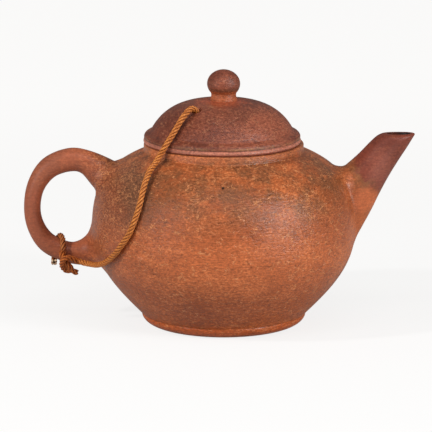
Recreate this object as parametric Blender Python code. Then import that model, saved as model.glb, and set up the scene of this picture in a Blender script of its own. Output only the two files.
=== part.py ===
"""Small unglazed clay teapot whose loose lid is tied to the handle with a cord.

Metres, +Z up. The pot stands on the plane Z = 0, its spout points along +X and its handle along -X.
The origin is the middle of the pot's outline on that plane, so the axis of the round body, the lid and
the foot stands a little to the spout's side of it. Every piece is modelled about that axis and hangs
from the empty pot_axis, which moves it into place.
"""

import math

import bmesh
import bpy
import numpy as np

# Clearances and cuts
SEAM = 0.0003
OVERRUN = 0.004
MERGE_DISTANCE = 0.00001

# Round body, outside
BELLY_RADIUS = 0.0528
BELLY_Z = 0.0386
NECK_RADIUS = 0.0349
NECK_Z = 0.0685
HIP_RADIUS = 0.0330
FOOT_HEIGHT = 0.0045
BODY_WALL = 0.0032
MOUTH_RADIUS = 0.0265

# Control points of the two curves of the body's outline, as shares of its width and height
SHOULDER_SHARES = ((0.69, 0.19), (1.0, 0.42))
HIP_SHARES = ((0.53, 0.31), (1.0, 0.59))

# Foot and floor
FOOT_STEP = 0.0001
FOOT_SWELL = 0.0003
FOOT_ROUNDING = 0.0030
TREAD_INSET = 0.0055
TREAD_WIDTH = 0.0035
FLOOR_THICKNESS = 0.0030

# Ring round the mouth, which the lid rests on
COLLAR_RADIUS = 0.0315
COLLAR_TOP_Z = 0.0729
COLLAR_ROUNDING = 0.0006
COLLAR_HOLLOW_SHARES = ((0.0, 0.35), (0.1, 0.15))

# Lid
LID_RADIUS = 0.0312
BEAD_HEIGHT = 0.0042
GROOVE_HEIGHT = 0.0046
GROOVE_RADIUS = 0.0286
DOME_HEIGHT = 0.0169
DOME_FLAT_RADIUS = 0.0086
DOME_FLAT_RISE = 0.0003
LID_WALL = 0.0032
FLANGE_DEPTH = 0.0065
FLANGE_WALL = 0.0026
FLANGE_CLEARANCE = 0.0010
# The loose lid lies a little to the handle's side in its clearance
LID_OFF_AXIS = -0.0006
DOME_SHARES = ((0.57, 0.07), (0.85, 0.53))

# Knob
KNOB_RADIUS = 0.00658
KNOB_HALF_HEIGHT = 0.0058
KNOB_NECK_RADIUS = 0.0052
KNOB_NECK_HEIGHT = 0.0018
KNOB_RING_RADIUS = 0.0064
KNOB_RING_HEIGHT = 0.0008
KNOB_RING_FLARE = 0.0006
KNOB_NECK_SHARES = (0.8, 0.2)
# The ball's lowest ring, as the angle below its middle, and how far the knob was set off the lid's axis
KNOB_CUT_ANGLE = 38
KNOB_OFF_AXIS = 0.0005

# Spout
SPOUT_REACH = 0.0763
SPOUT_LIP_Z = 0.0762
SPOUT_ROOT_WIDTH = 0.0185
SPOUT_ROOT_DEPTH = 0.0235
SPOUT_WALL = 0.0022
# Each row is one rib of the spout: where it meets the upper edge and the lower edge, along X as a
# share from the belly to the lip's tip, or of the root's depth inside the belly, along Z as a share
# from the belly to the lip, and its width in Y as a share of the root's.
SPOUT_RIB_SHARES = (
    (-0.84, -0.02, -0.20, -0.33, 1.00),
    (-0.65, 0.21, -0.01, -0.13, 1.00),
    (-0.40, 0.58, 0.25, 0.17, 0.97),
    (-0.20, 0.69, 0.41, 0.38, 0.90),
    (0.03, 0.77, 0.56, 0.56, 0.80),
    (0.23, 0.91, 0.715, 0.72, 0.71),
    (0.35, 0.98, 0.87, 0.87, 0.635),
    (0.44, 1.00, 1.00, 1.00, 0.605),
)

# Strainer, pierced in the body behind the spout
STRAINER_HOLE_RADIUS = 0.0015
STRAINER_RING_RADIUS = 0.0052
STRAINER_Z = 0.0480
STRAINER_RING_HOLES = 6

# Handle
HANDLE_REACH = 0.0800
HANDLE_TOP_Z = 0.0706
HANDLE_BOTTOM_Z = 0.0237
HANDLE_THICKNESS = 0.0094
HANDLE_DEPTH = 0.0092
# Each row is one station on the handle's middle line: its place from the belly out to the reach and
# from the lowest to the highest point of that line, then its thickness and its depth in Y, all shares.
HANDLE_STATION_SHARES = (
    (-0.54, 0.66, 1.80, 1.60),
    (-0.20, 0.85, 1.42, 1.35),
    (0.09, 0.975, 1.03, 1.08),
    (0.37, 1.00, 1.00, 1.00),
    (0.71, 0.915, 0.915, 0.96),
    (0.93, 0.725, 0.77, 0.92),
    (1.00, 0.49, 0.71, 0.90),
    (0.935, 0.28, 0.755, 0.92),
    (0.73, 0.10, 0.86, 0.96),
    (0.36, 0.00, 0.925, 1.00),
    (0.01, 0.02, 1.32, 1.15),
    (-0.37, 0.09, 1.90, 1.40),
)

# Cord
CORD_DIAMETER = 0.0023
CORD_HOLE_RADIUS = 0.0018
CORD_HOLE_AT = (-0.0102, -0.0135)
CORD_STEP = 0.0055
CORD_BEND_POINTS = 6
# The cord's free stretch, from the stop knot inside the lid, out of the hole, over the lid's rim,
# down the body and along the handle's root to the knot.
CORD_ROUTE = (
    (-0.0097, -0.0120, 0.0842),
    (-0.0102, -0.0127, 0.0864),
    (-0.0110, -0.0137, 0.0882),
    (-0.0122, -0.0151, 0.0893),
    (-0.0138, -0.0168, 0.0889),
    (-0.0158, -0.0190, 0.0868),
    (-0.0172, -0.0202, 0.0848),
    (-0.0200, -0.0222, 0.0803),
    (-0.0227, -0.0243, 0.0763),
    (-0.0251, -0.0240, 0.0722),
    (-0.0268, -0.0258, 0.0695),
    (-0.0287, -0.0296, 0.0676),
    (-0.0302, -0.0341, 0.0646),
    (-0.0313, -0.0371, 0.0612),
    (-0.0332, -0.0403, 0.0539),
    (-0.0364, -0.0400, 0.0452),
    (-0.0404, -0.0364, 0.0392),
    (-0.0433, -0.0327, 0.0356),
    (-0.0466, -0.0269, 0.0318),
    (-0.0499, -0.0195, 0.0282),
    (-0.0527, -0.0132, 0.0262),
    (-0.0557, -0.0096, 0.0259),
    (-0.0580, -0.0085, 0.0264),
)
CORD_STOP_RADIUS = 0.0028
CORD_STOP_HALF_HEIGHT = 0.0022
CORD_KNOT_AT = (-0.0620, -0.0082, 0.0268)
CORD_KNOT_HALF_SIZE = (0.0032, 0.0027, 0.0029)
CORD_TAIL_ROUTE = (
    (-0.0636, -0.0082, 0.0222),
    (-0.0622, -0.0080, 0.0215),
    (-0.0604, -0.0077, 0.0213),
    (-0.0586, -0.0073, 0.0215),
)
# The turn round the handle: where it is on the handle's middle line, how far it drifts along X on its
# way round as shares of its drift, how far it hangs below the handle, and the angles it starts and
# ends at, counted from the back over the top.
CORD_LOOP_STATION_SHARE = 0.78
CORD_LOOP_DRIFT = 0.0035
CORD_LOOP_DRIFT_SHARES = (0.35, 0.25, -0.35, -0.85, -0.20)
CORD_LOOP_SLACK = 0.0012
CORD_LOOP_START = math.radians(168)
CORD_LOOP_END = math.radians(-114)

# Facets
ROUND_SIDES = 48
KNOB_SIDES = 24
SPOUT_SIDES = 20
HANDLE_SIDES = 14
HOLE_SIDES = 12
LOOP_POINTS = 24

CLAY = (0.36, 0.12, 0.055)
DARK_CLAY = (0.20, 0.075, 0.045)
CORD_BROWN = (0.42, 0.19, 0.05)


def clear_scene():
    """Removes every object, so that the file can be run again and again."""
    for old in list(bpy.data.objects):
        bpy.data.objects.remove(old, do_unlink=True)


def finish_material(name, colour, roughness):
    """One plain Principled material."""
    material = bpy.data.materials.new(name)
    material.use_nodes = True
    shader = material.node_tree.nodes["Principled BSDF"]
    shader.inputs["Base Color"].default_value = (*colour, 1.0)
    shader.inputs["Roughness"].default_value = roughness
    shader.inputs["Metallic"].default_value = 0.0
    material.diffuse_color = (*colour, 1.0)
    return material


def place(name, data, parent, material=None):
    """Links a new object that carries the data, hung from the parent."""
    made = bpy.data.objects.new(name, data)
    bpy.context.scene.collection.objects.link(made)
    made.parent = parent
    if material:
        data.materials.append(material)
    return made


def make_helper(thing):
    """Leaves a cutter out of the finished part."""
    thing.hide_render = True
    thing.display_type = "WIRE"
    return thing


def cut(thing, cutter, name):
    """Takes the cutter's solid out of the object with a live Boolean."""
    modifier = thing.modifiers.new(name, "BOOLEAN")
    modifier.operation = "DIFFERENCE"
    modifier.solver = "EXACT"
    modifier.object = cutter


def bezier(start, first, second, end, count):
    """Points of a cubic curve from start to end, both ends included."""
    t = np.linspace(0.0, 1.0, count)[:, None]
    s = 1.0 - t
    start, first, second, end = map(np.asarray, (start, first, second, end))
    return s**3 * start + 3 * s * s * t * first + 3 * s * t * t * second + t**3 * end


def arc(centre, radii, first_degrees, last_degrees, count):
    """Points of an elliptical arc about a centre, both ends included."""
    turn = np.radians(np.linspace(first_degrees, last_degrees, count))
    return np.column_stack([centre[0] + radii[0] * np.cos(turn), centre[1] + radii[1] * np.sin(turn)])


def offset(outline, distance):
    """Moves an open outline sideways, to the left of its direction for a positive distance."""
    along = np.gradient(outline, axis=0)
    along /= np.linalg.norm(along, axis=1)[:, None]
    return outline + distance * np.column_stack([-along[:, 1], along[:, 0]])


def smooth(points, count):
    """Catmull-Rom curve through rows of numbers, read at evenly spread places, both ends included."""
    points = np.asarray(points, float)
    ends = np.vstack([2 * points[0] - points[1], points, 2 * points[-1] - points[-2]])
    spans = len(points) - 1
    read = []
    for place_at in np.linspace(0.0, spans, count):
        k = min(int(place_at), spans - 1)
        t = place_at - k
        a, b, c, d = ends[k : k + 4]
        bend = (2 * a - 5 * b + 4 * c - d) * t * t + (3 * (b - c) + d - a) * t**3
        read.append(b + 0.5 * ((c - a) * t + bend))
    return np.array(read)


def even_path(route, step):
    """Points a step apart on a smooth curve through the route, its two ends kept."""
    fine = smooth(route, 40 * len(route))
    run = np.concatenate([[0.0], np.cumsum(np.linalg.norm(np.diff(fine, axis=0), axis=1))])
    count = max(3, round(run[-1] / step) + 1)
    places = np.linspace(0.0, run[-1], count)
    return np.column_stack([np.interp(places, run, fine[:, k]) for k in range(3)]), run[-1]


def turned(name, outline, parent, material=None, sides=ROUND_SIDES):
    """A turned solid: a closed outline of (radius, height) points, down its outer side, spun round Z."""
    mesh = bpy.data.meshes.new(name)
    points = [(r, 0.0, z) for r, z in outline]
    last = len(points) - 1
    on_axis = abs(outline[0][0]) + abs(outline[-1][0]) == 0.0
    edges = [(k, k + 1) for k in range(last)] + ([] if on_axis else [(last, 0)])
    mesh.from_pydata(points, edges, [])
    made = place(name, mesh, parent, material)
    screw = made.modifiers.new("turn", "SCREW")
    screw.axis = "Z"
    screw.angle = math.tau
    screw.steps = sides
    screw.render_steps = sides
    screw.use_merge_vertices = True
    screw.merge_threshold = MERGE_DISTANCE
    screw.use_smooth_shade = True
    return made


def lofted(name, rings, parent, material=None):
    """A solid skinned over rings of points, each with as many points as the first, with both ends capped."""
    shape = bmesh.new()
    rows = [[shape.verts.new(point) for point in ring] for ring in rings]
    for low, high in zip(rows, rows[1:]):
        for k in range(len(low)):
            following = (k + 1) % len(low)
            shape.faces.new((low[k], low[following], high[following], high[k]))
    shape.faces.new(reversed(rows[0]))
    shape.faces.new(rows[-1])
    bmesh.ops.recalc_face_normals(shape, faces=shape.faces)
    mesh = bpy.data.meshes.new(name)
    shape.to_mesh(mesh)
    shape.free()
    mesh.shade_smooth()
    return place(name, mesh, parent, material)


def rod(name, start, end, radius, parent, sides=HOLE_SIDES):
    """A straight round rod between two points of the XZ plane's frame, as a cutter."""
    start, end = np.asarray(start, float), np.asarray(end, float)
    along = (end - start) / np.linalg.norm(end - start)
    side = np.cross(along, (0.0, 1.0, 0.0) if abs(along[1]) < 0.9 else (1.0, 0.0, 0.0))
    side /= np.linalg.norm(side)
    other = np.cross(along, side)
    turns = np.arange(sides) * math.tau / sides
    circle = [radius * (math.cos(turn) * side + math.sin(turn) * other) for turn in turns]
    return lofted(name, [[start + c for c in circle], [end + c for c in circle]], parent)


def blob(name, centre, half_size, parent, material):
    """A rounded lump, as a knot pulled tight."""
    shape = bmesh.new()
    bmesh.ops.create_icosphere(shape, subdivisions=2, radius=1.0)
    bmesh.ops.scale(shape, vec=half_size, verts=shape.verts)
    bmesh.ops.translate(shape, vec=centre, verts=shape.verts)
    mesh = bpy.data.meshes.new(name)
    shape.to_mesh(mesh)
    shape.free()
    mesh.shade_smooth()
    return place(name, mesh, parent, material)


def tube(name, points, parent, material, resolution):
    """A round cord along the points, with filled caps."""
    data = bpy.data.curves.new(name, "CURVE")
    data.dimensions = "3D"
    data.bevel_depth = CORD_DIAMETER / 2
    data.bevel_resolution = resolution
    data.use_fill_caps = True
    spline = data.splines.new("POLY")
    spline.points.add(len(points) - 1)
    for target, point in zip(spline.points, points):
        target.co = (*point, 1.0)
    return place(name, data, parent, material)


def shoulder_curve(count):
    """The outside of the body from the neck down to its widest ring."""
    wide, high = BELLY_RADIUS - NECK_RADIUS, NECK_Z - BELLY_Z
    (x1, z1), (x2, z2) = SHOULDER_SHARES
    return bezier(
        (NECK_RADIUS, NECK_Z),
        (NECK_RADIUS + x1 * wide, NECK_Z - z1 * high),
        (NECK_RADIUS + x2 * wide, NECK_Z - z2 * high),
        (BELLY_RADIUS, BELLY_Z),
        count,
    )


def hip_curve(count):
    """The outside of the body from its widest ring down to the foot."""
    wide, high = BELLY_RADIUS - HIP_RADIUS, BELLY_Z - FOOT_HEIGHT
    (x1, z1), (x2, z2) = HIP_SHARES
    return bezier(
        (BELLY_RADIUS, BELLY_Z),
        (HIP_RADIUS + x2 * wide, FOOT_HEIGHT + z2 * high),
        (HIP_RADIUS + x1 * wide, FOOT_HEIGHT + z1 * high),
        (HIP_RADIUS, FOOT_HEIGHT),
        count,
    )


def body_outline():
    """The whole outside of the body, top to bottom."""
    return np.vstack([shoulder_curve(10), hip_curve(10)[1:]])


def make_body(axis, clay):
    """The round body: one wall from the mouth to the foot, pierced behind the spout."""
    outside = body_outline()
    inside = offset(outside, -BODY_WALL)
    floor_radius = HIP_RADIUS - BODY_WALL
    inside = inside[(inside[:, 0] > MOUTH_RADIUS) & (inside[:, 1] > FOOT_HEIGHT + FLOOR_THICKNESS)]
    top_inside = (MOUTH_RADIUS, NECK_Z - BODY_WALL)
    outline = [
        (MOUTH_RADIUS, NECK_Z),
        *outside,
        (floor_radius, FOOT_HEIGHT),
        (floor_radius, FOOT_HEIGHT + FLOOR_THICKNESS),
        *inside[::-2],
        top_inside,
    ]
    wall = turned("body_wall", outline, axis, clay)
    for number, (y, z) in enumerate(strainer_places()):
        start = (BELLY_RADIUS - BODY_WALL - OVERRUN - STRAINER_RING_RADIUS, y, z)
        end = (BELLY_RADIUS + OVERRUN, y, z)
        cutter = rod(f"strainer_cutter_{number}", start, end, STRAINER_HOLE_RADIUS, axis)
        cut(wall, make_helper(cutter), f"hole_{number}")
    return wall


def strainer_places():
    """One hole in the middle and a ring of holes round it, as (y, z)."""
    turns = [k * math.tau / STRAINER_RING_HOLES for k in range(STRAINER_RING_HOLES)]
    ring = [(math.sin(t), math.cos(t)) for t in turns]
    return [(0.0, STRAINER_Z)] + [
        (STRAINER_RING_RADIUS * y, STRAINER_Z + STRAINER_RING_RADIUS * z) for y, z in ring
    ]


def make_body_core(axis):
    """The space that the body fills, grown by a seam, which trims the spout and the handle."""
    grown = offset(body_outline(), SEAM)
    outline = [(0.0, grown[0][1]), *grown, (0.0, grown[-1][1])]
    return make_helper(turned("body_core", outline, axis))


def make_floor_and_foot(axis, clay):
    """The floor of the pot inside its wall, and the ring that it stands on."""
    radius = HIP_RADIUS - BODY_WALL - SEAM
    top, low = FOOT_HEIGHT + FLOOR_THICKNESS, FOOT_HEIGHT
    turned("base_disc", [(0.0, top), (radius, top), (radius, low), (0.0, low)], axis, clay)
    seat = FOOT_HEIGHT - SEAM
    foot, tread = HIP_RADIUS - FOOT_STEP, HIP_RADIUS - TREAD_INSET
    inner = tread - TREAD_WIDTH
    outside = bezier((foot, seat), (foot + FOOT_SWELL, seat / 2), (tread + FOOT_ROUNDING, 0.0), (tread, 0.0), 8)
    outline = [(inner, seat), *outside, (inner, 0.0)]
    turned("foot_ring", outline, axis, clay)


def make_collar(axis, clay):
    """The low ring round the mouth, with a soft hollow where it leaves the shoulder."""
    seat = NECK_Z + SEAM
    edge = COLLAR_RADIUS - COLLAR_ROUNDING
    rounding = arc((edge, COLLAR_TOP_Z - COLLAR_ROUNDING), (COLLAR_ROUNDING, COLLAR_ROUNDING), 90, 0, 4)
    rise = COLLAR_TOP_Z - seat
    (x1, z1), (x2, z2) = COLLAR_HOLLOW_SHARES
    hollow = bezier(
        (COLLAR_RADIUS, COLLAR_TOP_Z - COLLAR_ROUNDING),
        (COLLAR_RADIUS + x1 * rise, seat + z1 * rise),
        (COLLAR_RADIUS + x2 * rise, seat + z2 * rise),
        (NECK_RADIUS - SEAM, seat),
        6,
    )
    outline = [(MOUTH_RADIUS, COLLAR_TOP_Z), *rounding, *hollow[1:], (MOUTH_RADIUS, seat)]
    turned("mouth_collar", outline, axis, clay)


def spout_rings(shrink, ends):
    """Rings of the spout's ribs, drawn in by a wall's thickness, with further rings beyond its ends."""
    reach, rise = SPOUT_REACH - BELLY_RADIUS, SPOUT_LIP_Z - BELLY_Z
    along = lambda share: BELLY_RADIUS + share * (reach if share > 0 else SPOUT_ROOT_DEPTH)
    ribs = smooth(SPOUT_RIB_SHARES, 17)
    rings = []
    turns = np.arange(SPOUT_SIDES) * math.tau / SPOUT_SIDES
    for ux, uz, lx, lz, width in ribs:
        upper = np.array([along(ux), 0.0, BELLY_Z + uz * rise])
        lower = np.array([along(lx), 0.0, BELLY_Z + lz * rise])
        half = (lower - upper) / 2
        half *= 1.0 - shrink / np.linalg.norm(half)
        depth = np.array([0.0, width * SPOUT_ROOT_WIDTH / 2 - shrink, 0.0])
        middle = (upper + lower) / 2
        rings.append([middle + math.cos(t) * half + math.sin(t) * depth for t in turns])
    if ends:
        rings.append([point + np.array([0.0, 0.0, OVERRUN]) for point in rings[-1]])
    return rings


def make_spout(axis, clay, core):
    """The hollow spout, cut level at its lip and fitted to the round of the body."""
    spout = lofted("spout", spout_rings(0.0, False), axis, clay)
    bore = make_helper(lofted("spout_bore_cutter", spout_rings(SPOUT_WALL, True), axis))
    cut(spout, core, "fit_to_body")
    cut(spout, bore, "bore")


def handle_stations(count):
    """Rows of x, z, thickness and depth along the handle's middle line."""
    share_rows = smooth(HANDLE_STATION_SHARES, count)
    slimmest = HANDLE_THICKNESS * min(row[2] for row in HANDLE_STATION_SHARES)
    lowest = HANDLE_THICKNESS * next(row[2] for row in HANDLE_STATION_SHARES if row[1] == 0.0)
    far = HANDLE_REACH - slimmest / 2
    top, bottom = HANDLE_TOP_Z - HANDLE_THICKNESS / 2, HANDLE_BOTTOM_Z + lowest / 2
    return np.column_stack(
        [
            -(BELLY_RADIUS + share_rows[:, 0] * (far - BELLY_RADIUS)),
            bottom + share_rows[:, 1] * (top - bottom),
            share_rows[:, 2] * HANDLE_THICKNESS,
            share_rows[:, 3] * HANDLE_DEPTH,
        ]
    )


def make_handle(axis, clay, core):
    """The ear handle: an oval section swept along its middle line and flared at both roots."""
    stations = handle_stations(34)
    along = np.gradient(stations[:, :2], axis=0)
    along /= np.linalg.norm(along, axis=1)[:, None]
    turns = np.arange(HANDLE_SIDES) * math.tau / HANDLE_SIDES
    rings = []
    for (x, z, thick, deep), (tx, tz) in zip(stations, along):
        across = np.array([-tz, 0.0, tx]) * thick / 2
        depth = np.array([0.0, deep / 2, 0.0])
        middle = np.array([x, 0.0, z])
        rings.append([middle + math.cos(t) * across + math.sin(t) * depth for t in turns])
    handle = lofted("handle", rings, axis, clay)
    cut(handle, core, "fit_to_body")


def lid_seat():
    """Height of the lid's underside, which rests on the collar."""
    return COLLAR_TOP_Z + SEAM


def dome_curve(count):
    """The outside of the lid from its flat top to the groove over the bead."""
    foot = lid_seat() + GROOVE_HEIGHT
    top = lid_seat() + DOME_HEIGHT
    wide, high = GROOVE_RADIUS - DOME_FLAT_RADIUS, top - foot
    (x1, z1), (x2, z2) = DOME_SHARES
    return bezier(
        (DOME_FLAT_RADIUS, top),
        (DOME_FLAT_RADIUS + x1 * wide, top - z1 * high),
        (DOME_FLAT_RADIUS + x2 * wide, top - z2 * high),
        (GROOVE_RADIUS, foot),
        count,
    )


def dome_normal(x, y):
    """The point of the dome's outside over (x, y), and the direction straight out of it there."""
    dome = dome_curve(101)
    radius = math.hypot(x, y)
    at = int(np.argmin(np.abs(dome[:, 0] - radius)))
    run, drop = dome[at + 1] - dome[at - 1]
    out = np.array([-drop * x / radius, -drop * y / radius, run])
    return np.array([x, y, np.interp(radius, dome[:, 0], dome[:, 1])]), out / np.linalg.norm(out)


def make_lid(axis, clay):
    """The lid's shell with its bead, and the flange that drops into the mouth."""
    seat = lid_seat()
    dome = dome_curve(11)
    bead_radius = BEAD_HEIGHT / 2
    bead_middle = (LID_RADIUS - bead_radius, seat + bead_radius)
    bead = arc(bead_middle, (bead_radius, bead_radius), 75, -90, 8)
    inside = offset(dome, -LID_WALL)
    flange_outer = MOUTH_RADIUS - FLANGE_CLEARANCE
    flange_inner = flange_outer - FLANGE_WALL
    inside = inside[(inside[:, 0] < flange_inner) & (inside[:, 1] > seat)]
    crown = seat + DOME_HEIGHT
    outline = [
        (0.0, crown + DOME_FLAT_RISE),
        *dome,
        *bead,
        (flange_inner, seat),
        *inside[::-2],
        (0.0, crown - LID_WALL),
    ]
    dome_piece = turned("lid_dome", outline, axis, clay)
    mouth, out = dome_normal(*CORD_HOLE_AT)
    start, end = mouth - out * (LID_WALL + OVERRUN), mouth + out * OVERRUN
    cut(dome_piece, make_helper(rod("cord_hole_cutter", start, end, CORD_HOLE_RADIUS, axis)), "cord_hole")
    top, low = seat - SEAM, seat - SEAM - FLANGE_DEPTH
    flange = [
        (flange_inner, top),
        (flange_outer, top),
        (flange_outer, low + FLANGE_WALL / 3),
        (flange_outer - FLANGE_WALL / 3, low),
        (flange_inner, low),
    ]
    turned("lid_flange", flange, axis, clay)


def make_knob(axis, clay):
    """The ball knob on its short neck, with the small ring at its root."""
    seat = lid_seat() + DOME_HEIGHT + DOME_FLAT_RISE + SEAM
    ring_top = seat + KNOB_RING_HEIGHT
    middle = ring_top + KNOB_NECK_HEIGHT + KNOB_HALF_HEIGHT * math.sin(math.radians(KNOB_CUT_ANGLE))
    ball = arc((0.0, middle), (KNOB_RADIUS, KNOB_HALF_HEIGHT), 90, -KNOB_CUT_ANGLE, 12)
    ball[0][0] = 0.0
    neck = bezier(
        ball[-1],
        (KNOB_NECK_RADIUS, ring_top + KNOB_NECK_HEIGHT * KNOB_NECK_SHARES[0]),
        (KNOB_NECK_RADIUS, ring_top + KNOB_NECK_HEIGHT * KNOB_NECK_SHARES[1]),
        (KNOB_RING_RADIUS, ring_top),
        6,
    )
    outline = [*ball, *neck[1:], (KNOB_RING_RADIUS + KNOB_RING_FLARE, seat), (0.0, seat)]
    turned("lid_knob", outline, axis, clay, KNOB_SIDES).location.x = KNOB_OFF_AXIS


def cord_points():
    """The free stretch, read closely where it bends out of the hole and then every few diameters."""
    bend, bend_length = even_path(CORD_ROUTE[: CORD_BEND_POINTS + 1], CORD_DIAMETER)
    rest, rest_length = even_path(CORD_ROUTE[CORD_BEND_POINTS:], CORD_STEP)
    return np.vstack([bend, rest[1:]]), bend_length + rest_length


def loop_points():
    """One turn of cord round the lower end of the handle, from a formula."""
    stations = handle_stations(200)
    at = int(CORD_LOOP_STATION_SHARE * (len(stations) - 1))
    (x0, z0), (x1, z1) = stations[at - 1, :2], stations[at + 1, :2]
    slope = (z1 - z0) / (x1 - x0)
    x, z, thick, deep = stations[at]
    clear = CORD_DIAMETER / 2 + 2 * SEAM
    high = thick / 2 * math.hypot(1.0, slope) + clear
    wide = deep / 2 + clear
    drifts = CORD_LOOP_DRIFT * smooth([[share] for share in CORD_LOOP_DRIFT_SHARES], LOOP_POINTS)[:, 0]
    turns = np.linspace(CORD_LOOP_START, CORD_LOOP_END, LOOP_POINTS)
    slack = CORD_LOOP_SLACK * np.clip(-np.sin(turns), 0.0, 1.0)
    return np.column_stack(
        [x + drifts, wide * np.cos(turns), z + slope * drifts + (high + slack) * np.sin(turns)]
    )


def least_gap(points):
    """The least clear distance between stretches of the tube that aren't neighbours along it."""
    run = np.concatenate([[0.0], np.cumsum(np.linalg.norm(np.diff(points, axis=0), axis=1))])
    apart = np.linalg.norm(points[:, None] - points[None], axis=2)
    far_along = np.abs(run[:, None] - run[None]) > 3 * CORD_DIAMETER
    return float(apart[far_along].min()) - CORD_DIAMETER


def make_cord(axis, lid_axis, fibre):
    """The cord: its free stretch, its turn round the handle, the knot with its tail, and the stop knot."""
    points, length = cord_points()
    tube("tether_cord", points, axis, fibre, 2)
    loop = loop_points()
    tube("tether_loop", loop, axis, fibre, 1)
    blob("tether_knot", CORD_KNOT_AT, CORD_KNOT_HALF_SIZE, axis, fibre)
    tail, _ = even_path(CORD_TAIL_ROUTE, CORD_DIAMETER)
    tube("tether_tail", tail, axis, fibre, 2)
    _, out = dome_normal(*CORD_HOLE_AT)
    x, y, z = CORD_ROUTE[0] - out * (SEAM + CORD_STOP_HALF_HEIGHT)
    stop_middle = (x - LID_OFF_AXIS, y, z)
    stop_size = (CORD_STOP_RADIUS, CORD_STOP_RADIUS, CORD_STOP_HALF_HEIGHT)
    blob("tether_stop", stop_middle, stop_size, lid_axis, fibre)
    print(f"cord: free length {length * 1000:.1f} mm, least gap of its turn to itself {least_gap(loop) * 1000:.2f} mm")


def main():
    clear_scene()
    axis = place("pot_axis", None, None)
    axis.location.x = (HANDLE_REACH - SPOUT_REACH) / 2
    lid_axis = place("lid_axis", None, axis)
    lid_axis.location.x = LID_OFF_AXIS
    clay = finish_material("fired_clay", CLAY, 0.6)
    dark = finish_material("darker_clay", DARK_CLAY, 0.5)
    fibre = finish_material("twisted_cord", CORD_BROWN, 0.85)
    core = make_body_core(axis)
    make_body(axis, clay)
    make_floor_and_foot(axis, clay)
    make_collar(axis, clay)
    make_spout(axis, dark, core)
    make_handle(axis, clay, core)
    make_lid(lid_axis, dark)
    make_knob(lid_axis, dark)
    make_cord(axis, lid_axis, fibre)


if __name__ == "__main__":
    main()
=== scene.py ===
"""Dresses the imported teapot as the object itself.

One skin of fired clay makes the pot with its handle, and the spout, the ring of the mouth and the foot go
with it. The loose lid carries its knob, and a twisted cord ties the lid to the handle.

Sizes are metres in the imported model's frame: +Z up, the spout along +X, the handle along -X. Shapes are
made about the axis of the round body and moved to where the frame has that axis.
"""

import logging
import math
from collections.abc import Callable, Iterator, Sequence
from dataclasses import dataclass, field
from enum import Enum

import bmesh
import bpy
import numpy as np
from bpy.types import Material, Mesh, Node, NodeSocket, NodeTree, Object
from mathutils import Euler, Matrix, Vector, noise
from mathutils.bvhtree import BVHTree

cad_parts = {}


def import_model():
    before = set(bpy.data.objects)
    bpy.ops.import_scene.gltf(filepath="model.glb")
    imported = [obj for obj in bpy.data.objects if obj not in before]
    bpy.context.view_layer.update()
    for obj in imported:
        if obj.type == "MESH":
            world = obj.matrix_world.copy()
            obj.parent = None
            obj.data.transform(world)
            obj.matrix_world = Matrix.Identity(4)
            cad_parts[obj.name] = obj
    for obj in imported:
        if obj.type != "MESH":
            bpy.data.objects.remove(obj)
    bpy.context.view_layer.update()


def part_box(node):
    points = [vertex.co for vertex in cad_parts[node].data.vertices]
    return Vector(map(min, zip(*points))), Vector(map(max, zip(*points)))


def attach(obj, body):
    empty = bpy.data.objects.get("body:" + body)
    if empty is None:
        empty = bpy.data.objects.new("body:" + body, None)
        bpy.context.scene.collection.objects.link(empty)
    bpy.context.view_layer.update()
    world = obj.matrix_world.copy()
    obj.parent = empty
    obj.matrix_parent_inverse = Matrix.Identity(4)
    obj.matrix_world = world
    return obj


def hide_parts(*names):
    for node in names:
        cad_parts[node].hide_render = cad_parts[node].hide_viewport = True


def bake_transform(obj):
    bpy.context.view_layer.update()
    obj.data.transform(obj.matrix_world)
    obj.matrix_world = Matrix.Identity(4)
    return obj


LOG = logging.getLogger("teapot")

Point = tuple[float, float, float]
Colour = tuple[float, float, float, float]
Levels = tuple[float, float]
Distance = tuple[np.ndarray, np.ndarray]

MERGE_DISTANCE = 0.000004
SHARP_EDGE = math.radians(42)
# What a member counts as away where it is out of reach
FAR = 1.0
# How much of a frayed rope's end spreads, and how many sides a piercing rod has
FRAYED_LENGTH = 0.0012
ROD_SIDES = 20


class Body(Enum):
    """The bodies of the frame that a piece can ride on."""

    POT = "pot"
    LID = "lid"


class Slot(Enum):
    """The material slots of the record."""

    CLAY = "fired_clay"
    DARK_CLAY = "darker_clay"
    CORD = "twisted_cord"


# Curves


def bezier(start: Sequence, first: Sequence, second: Sequence, end: Sequence, count: int) -> np.ndarray:
    """Reads a cubic curve.

    Args:
        start, first, second, end: its four control points.
        count: how many points to read, both ends included.

    Returns:
        One row for each point.
    """
    t = np.linspace(0.0, 1.0, count)[:, None]
    s = 1.0 - t
    start, first, second, end = map(np.asarray, (start, first, second, end))
    return s**3 * start + 3 * s * s * t * first + 3 * s * t * t * second + t**3 * end


def arc(centre: Sequence, radii: Sequence, first: float, last: float, count: int) -> np.ndarray:
    """Reads an elliptical arc in the plane, from the first angle to the last one, in degrees.

    Args:
        centre: its middle.
        radii: its two half axes.
        first, last: its end angles.
        count: how many points to read.

    Returns:
        One row for each point.
    """
    turn = np.radians(np.linspace(first, last, count))
    return np.column_stack([centre[0] + radii[0] * np.cos(turn), centre[1] + radii[1] * np.sin(turn)])


def unit_rows(rows: np.ndarray) -> np.ndarray:
    """The rows, each brought to length 1."""
    return rows / np.linalg.norm(rows, axis=1)[:, None]


def run_along(points: np.ndarray) -> np.ndarray:
    """How far along a row of points each of them lies."""
    return np.concatenate([[0.0], np.cumsum(np.linalg.norm(np.diff(points, axis=0), axis=1))])


def one_turn(count: int) -> np.ndarray:
    """Angles spread evenly over one turn."""
    return np.linspace(0.0, math.tau, count, endpoint=False)


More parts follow.
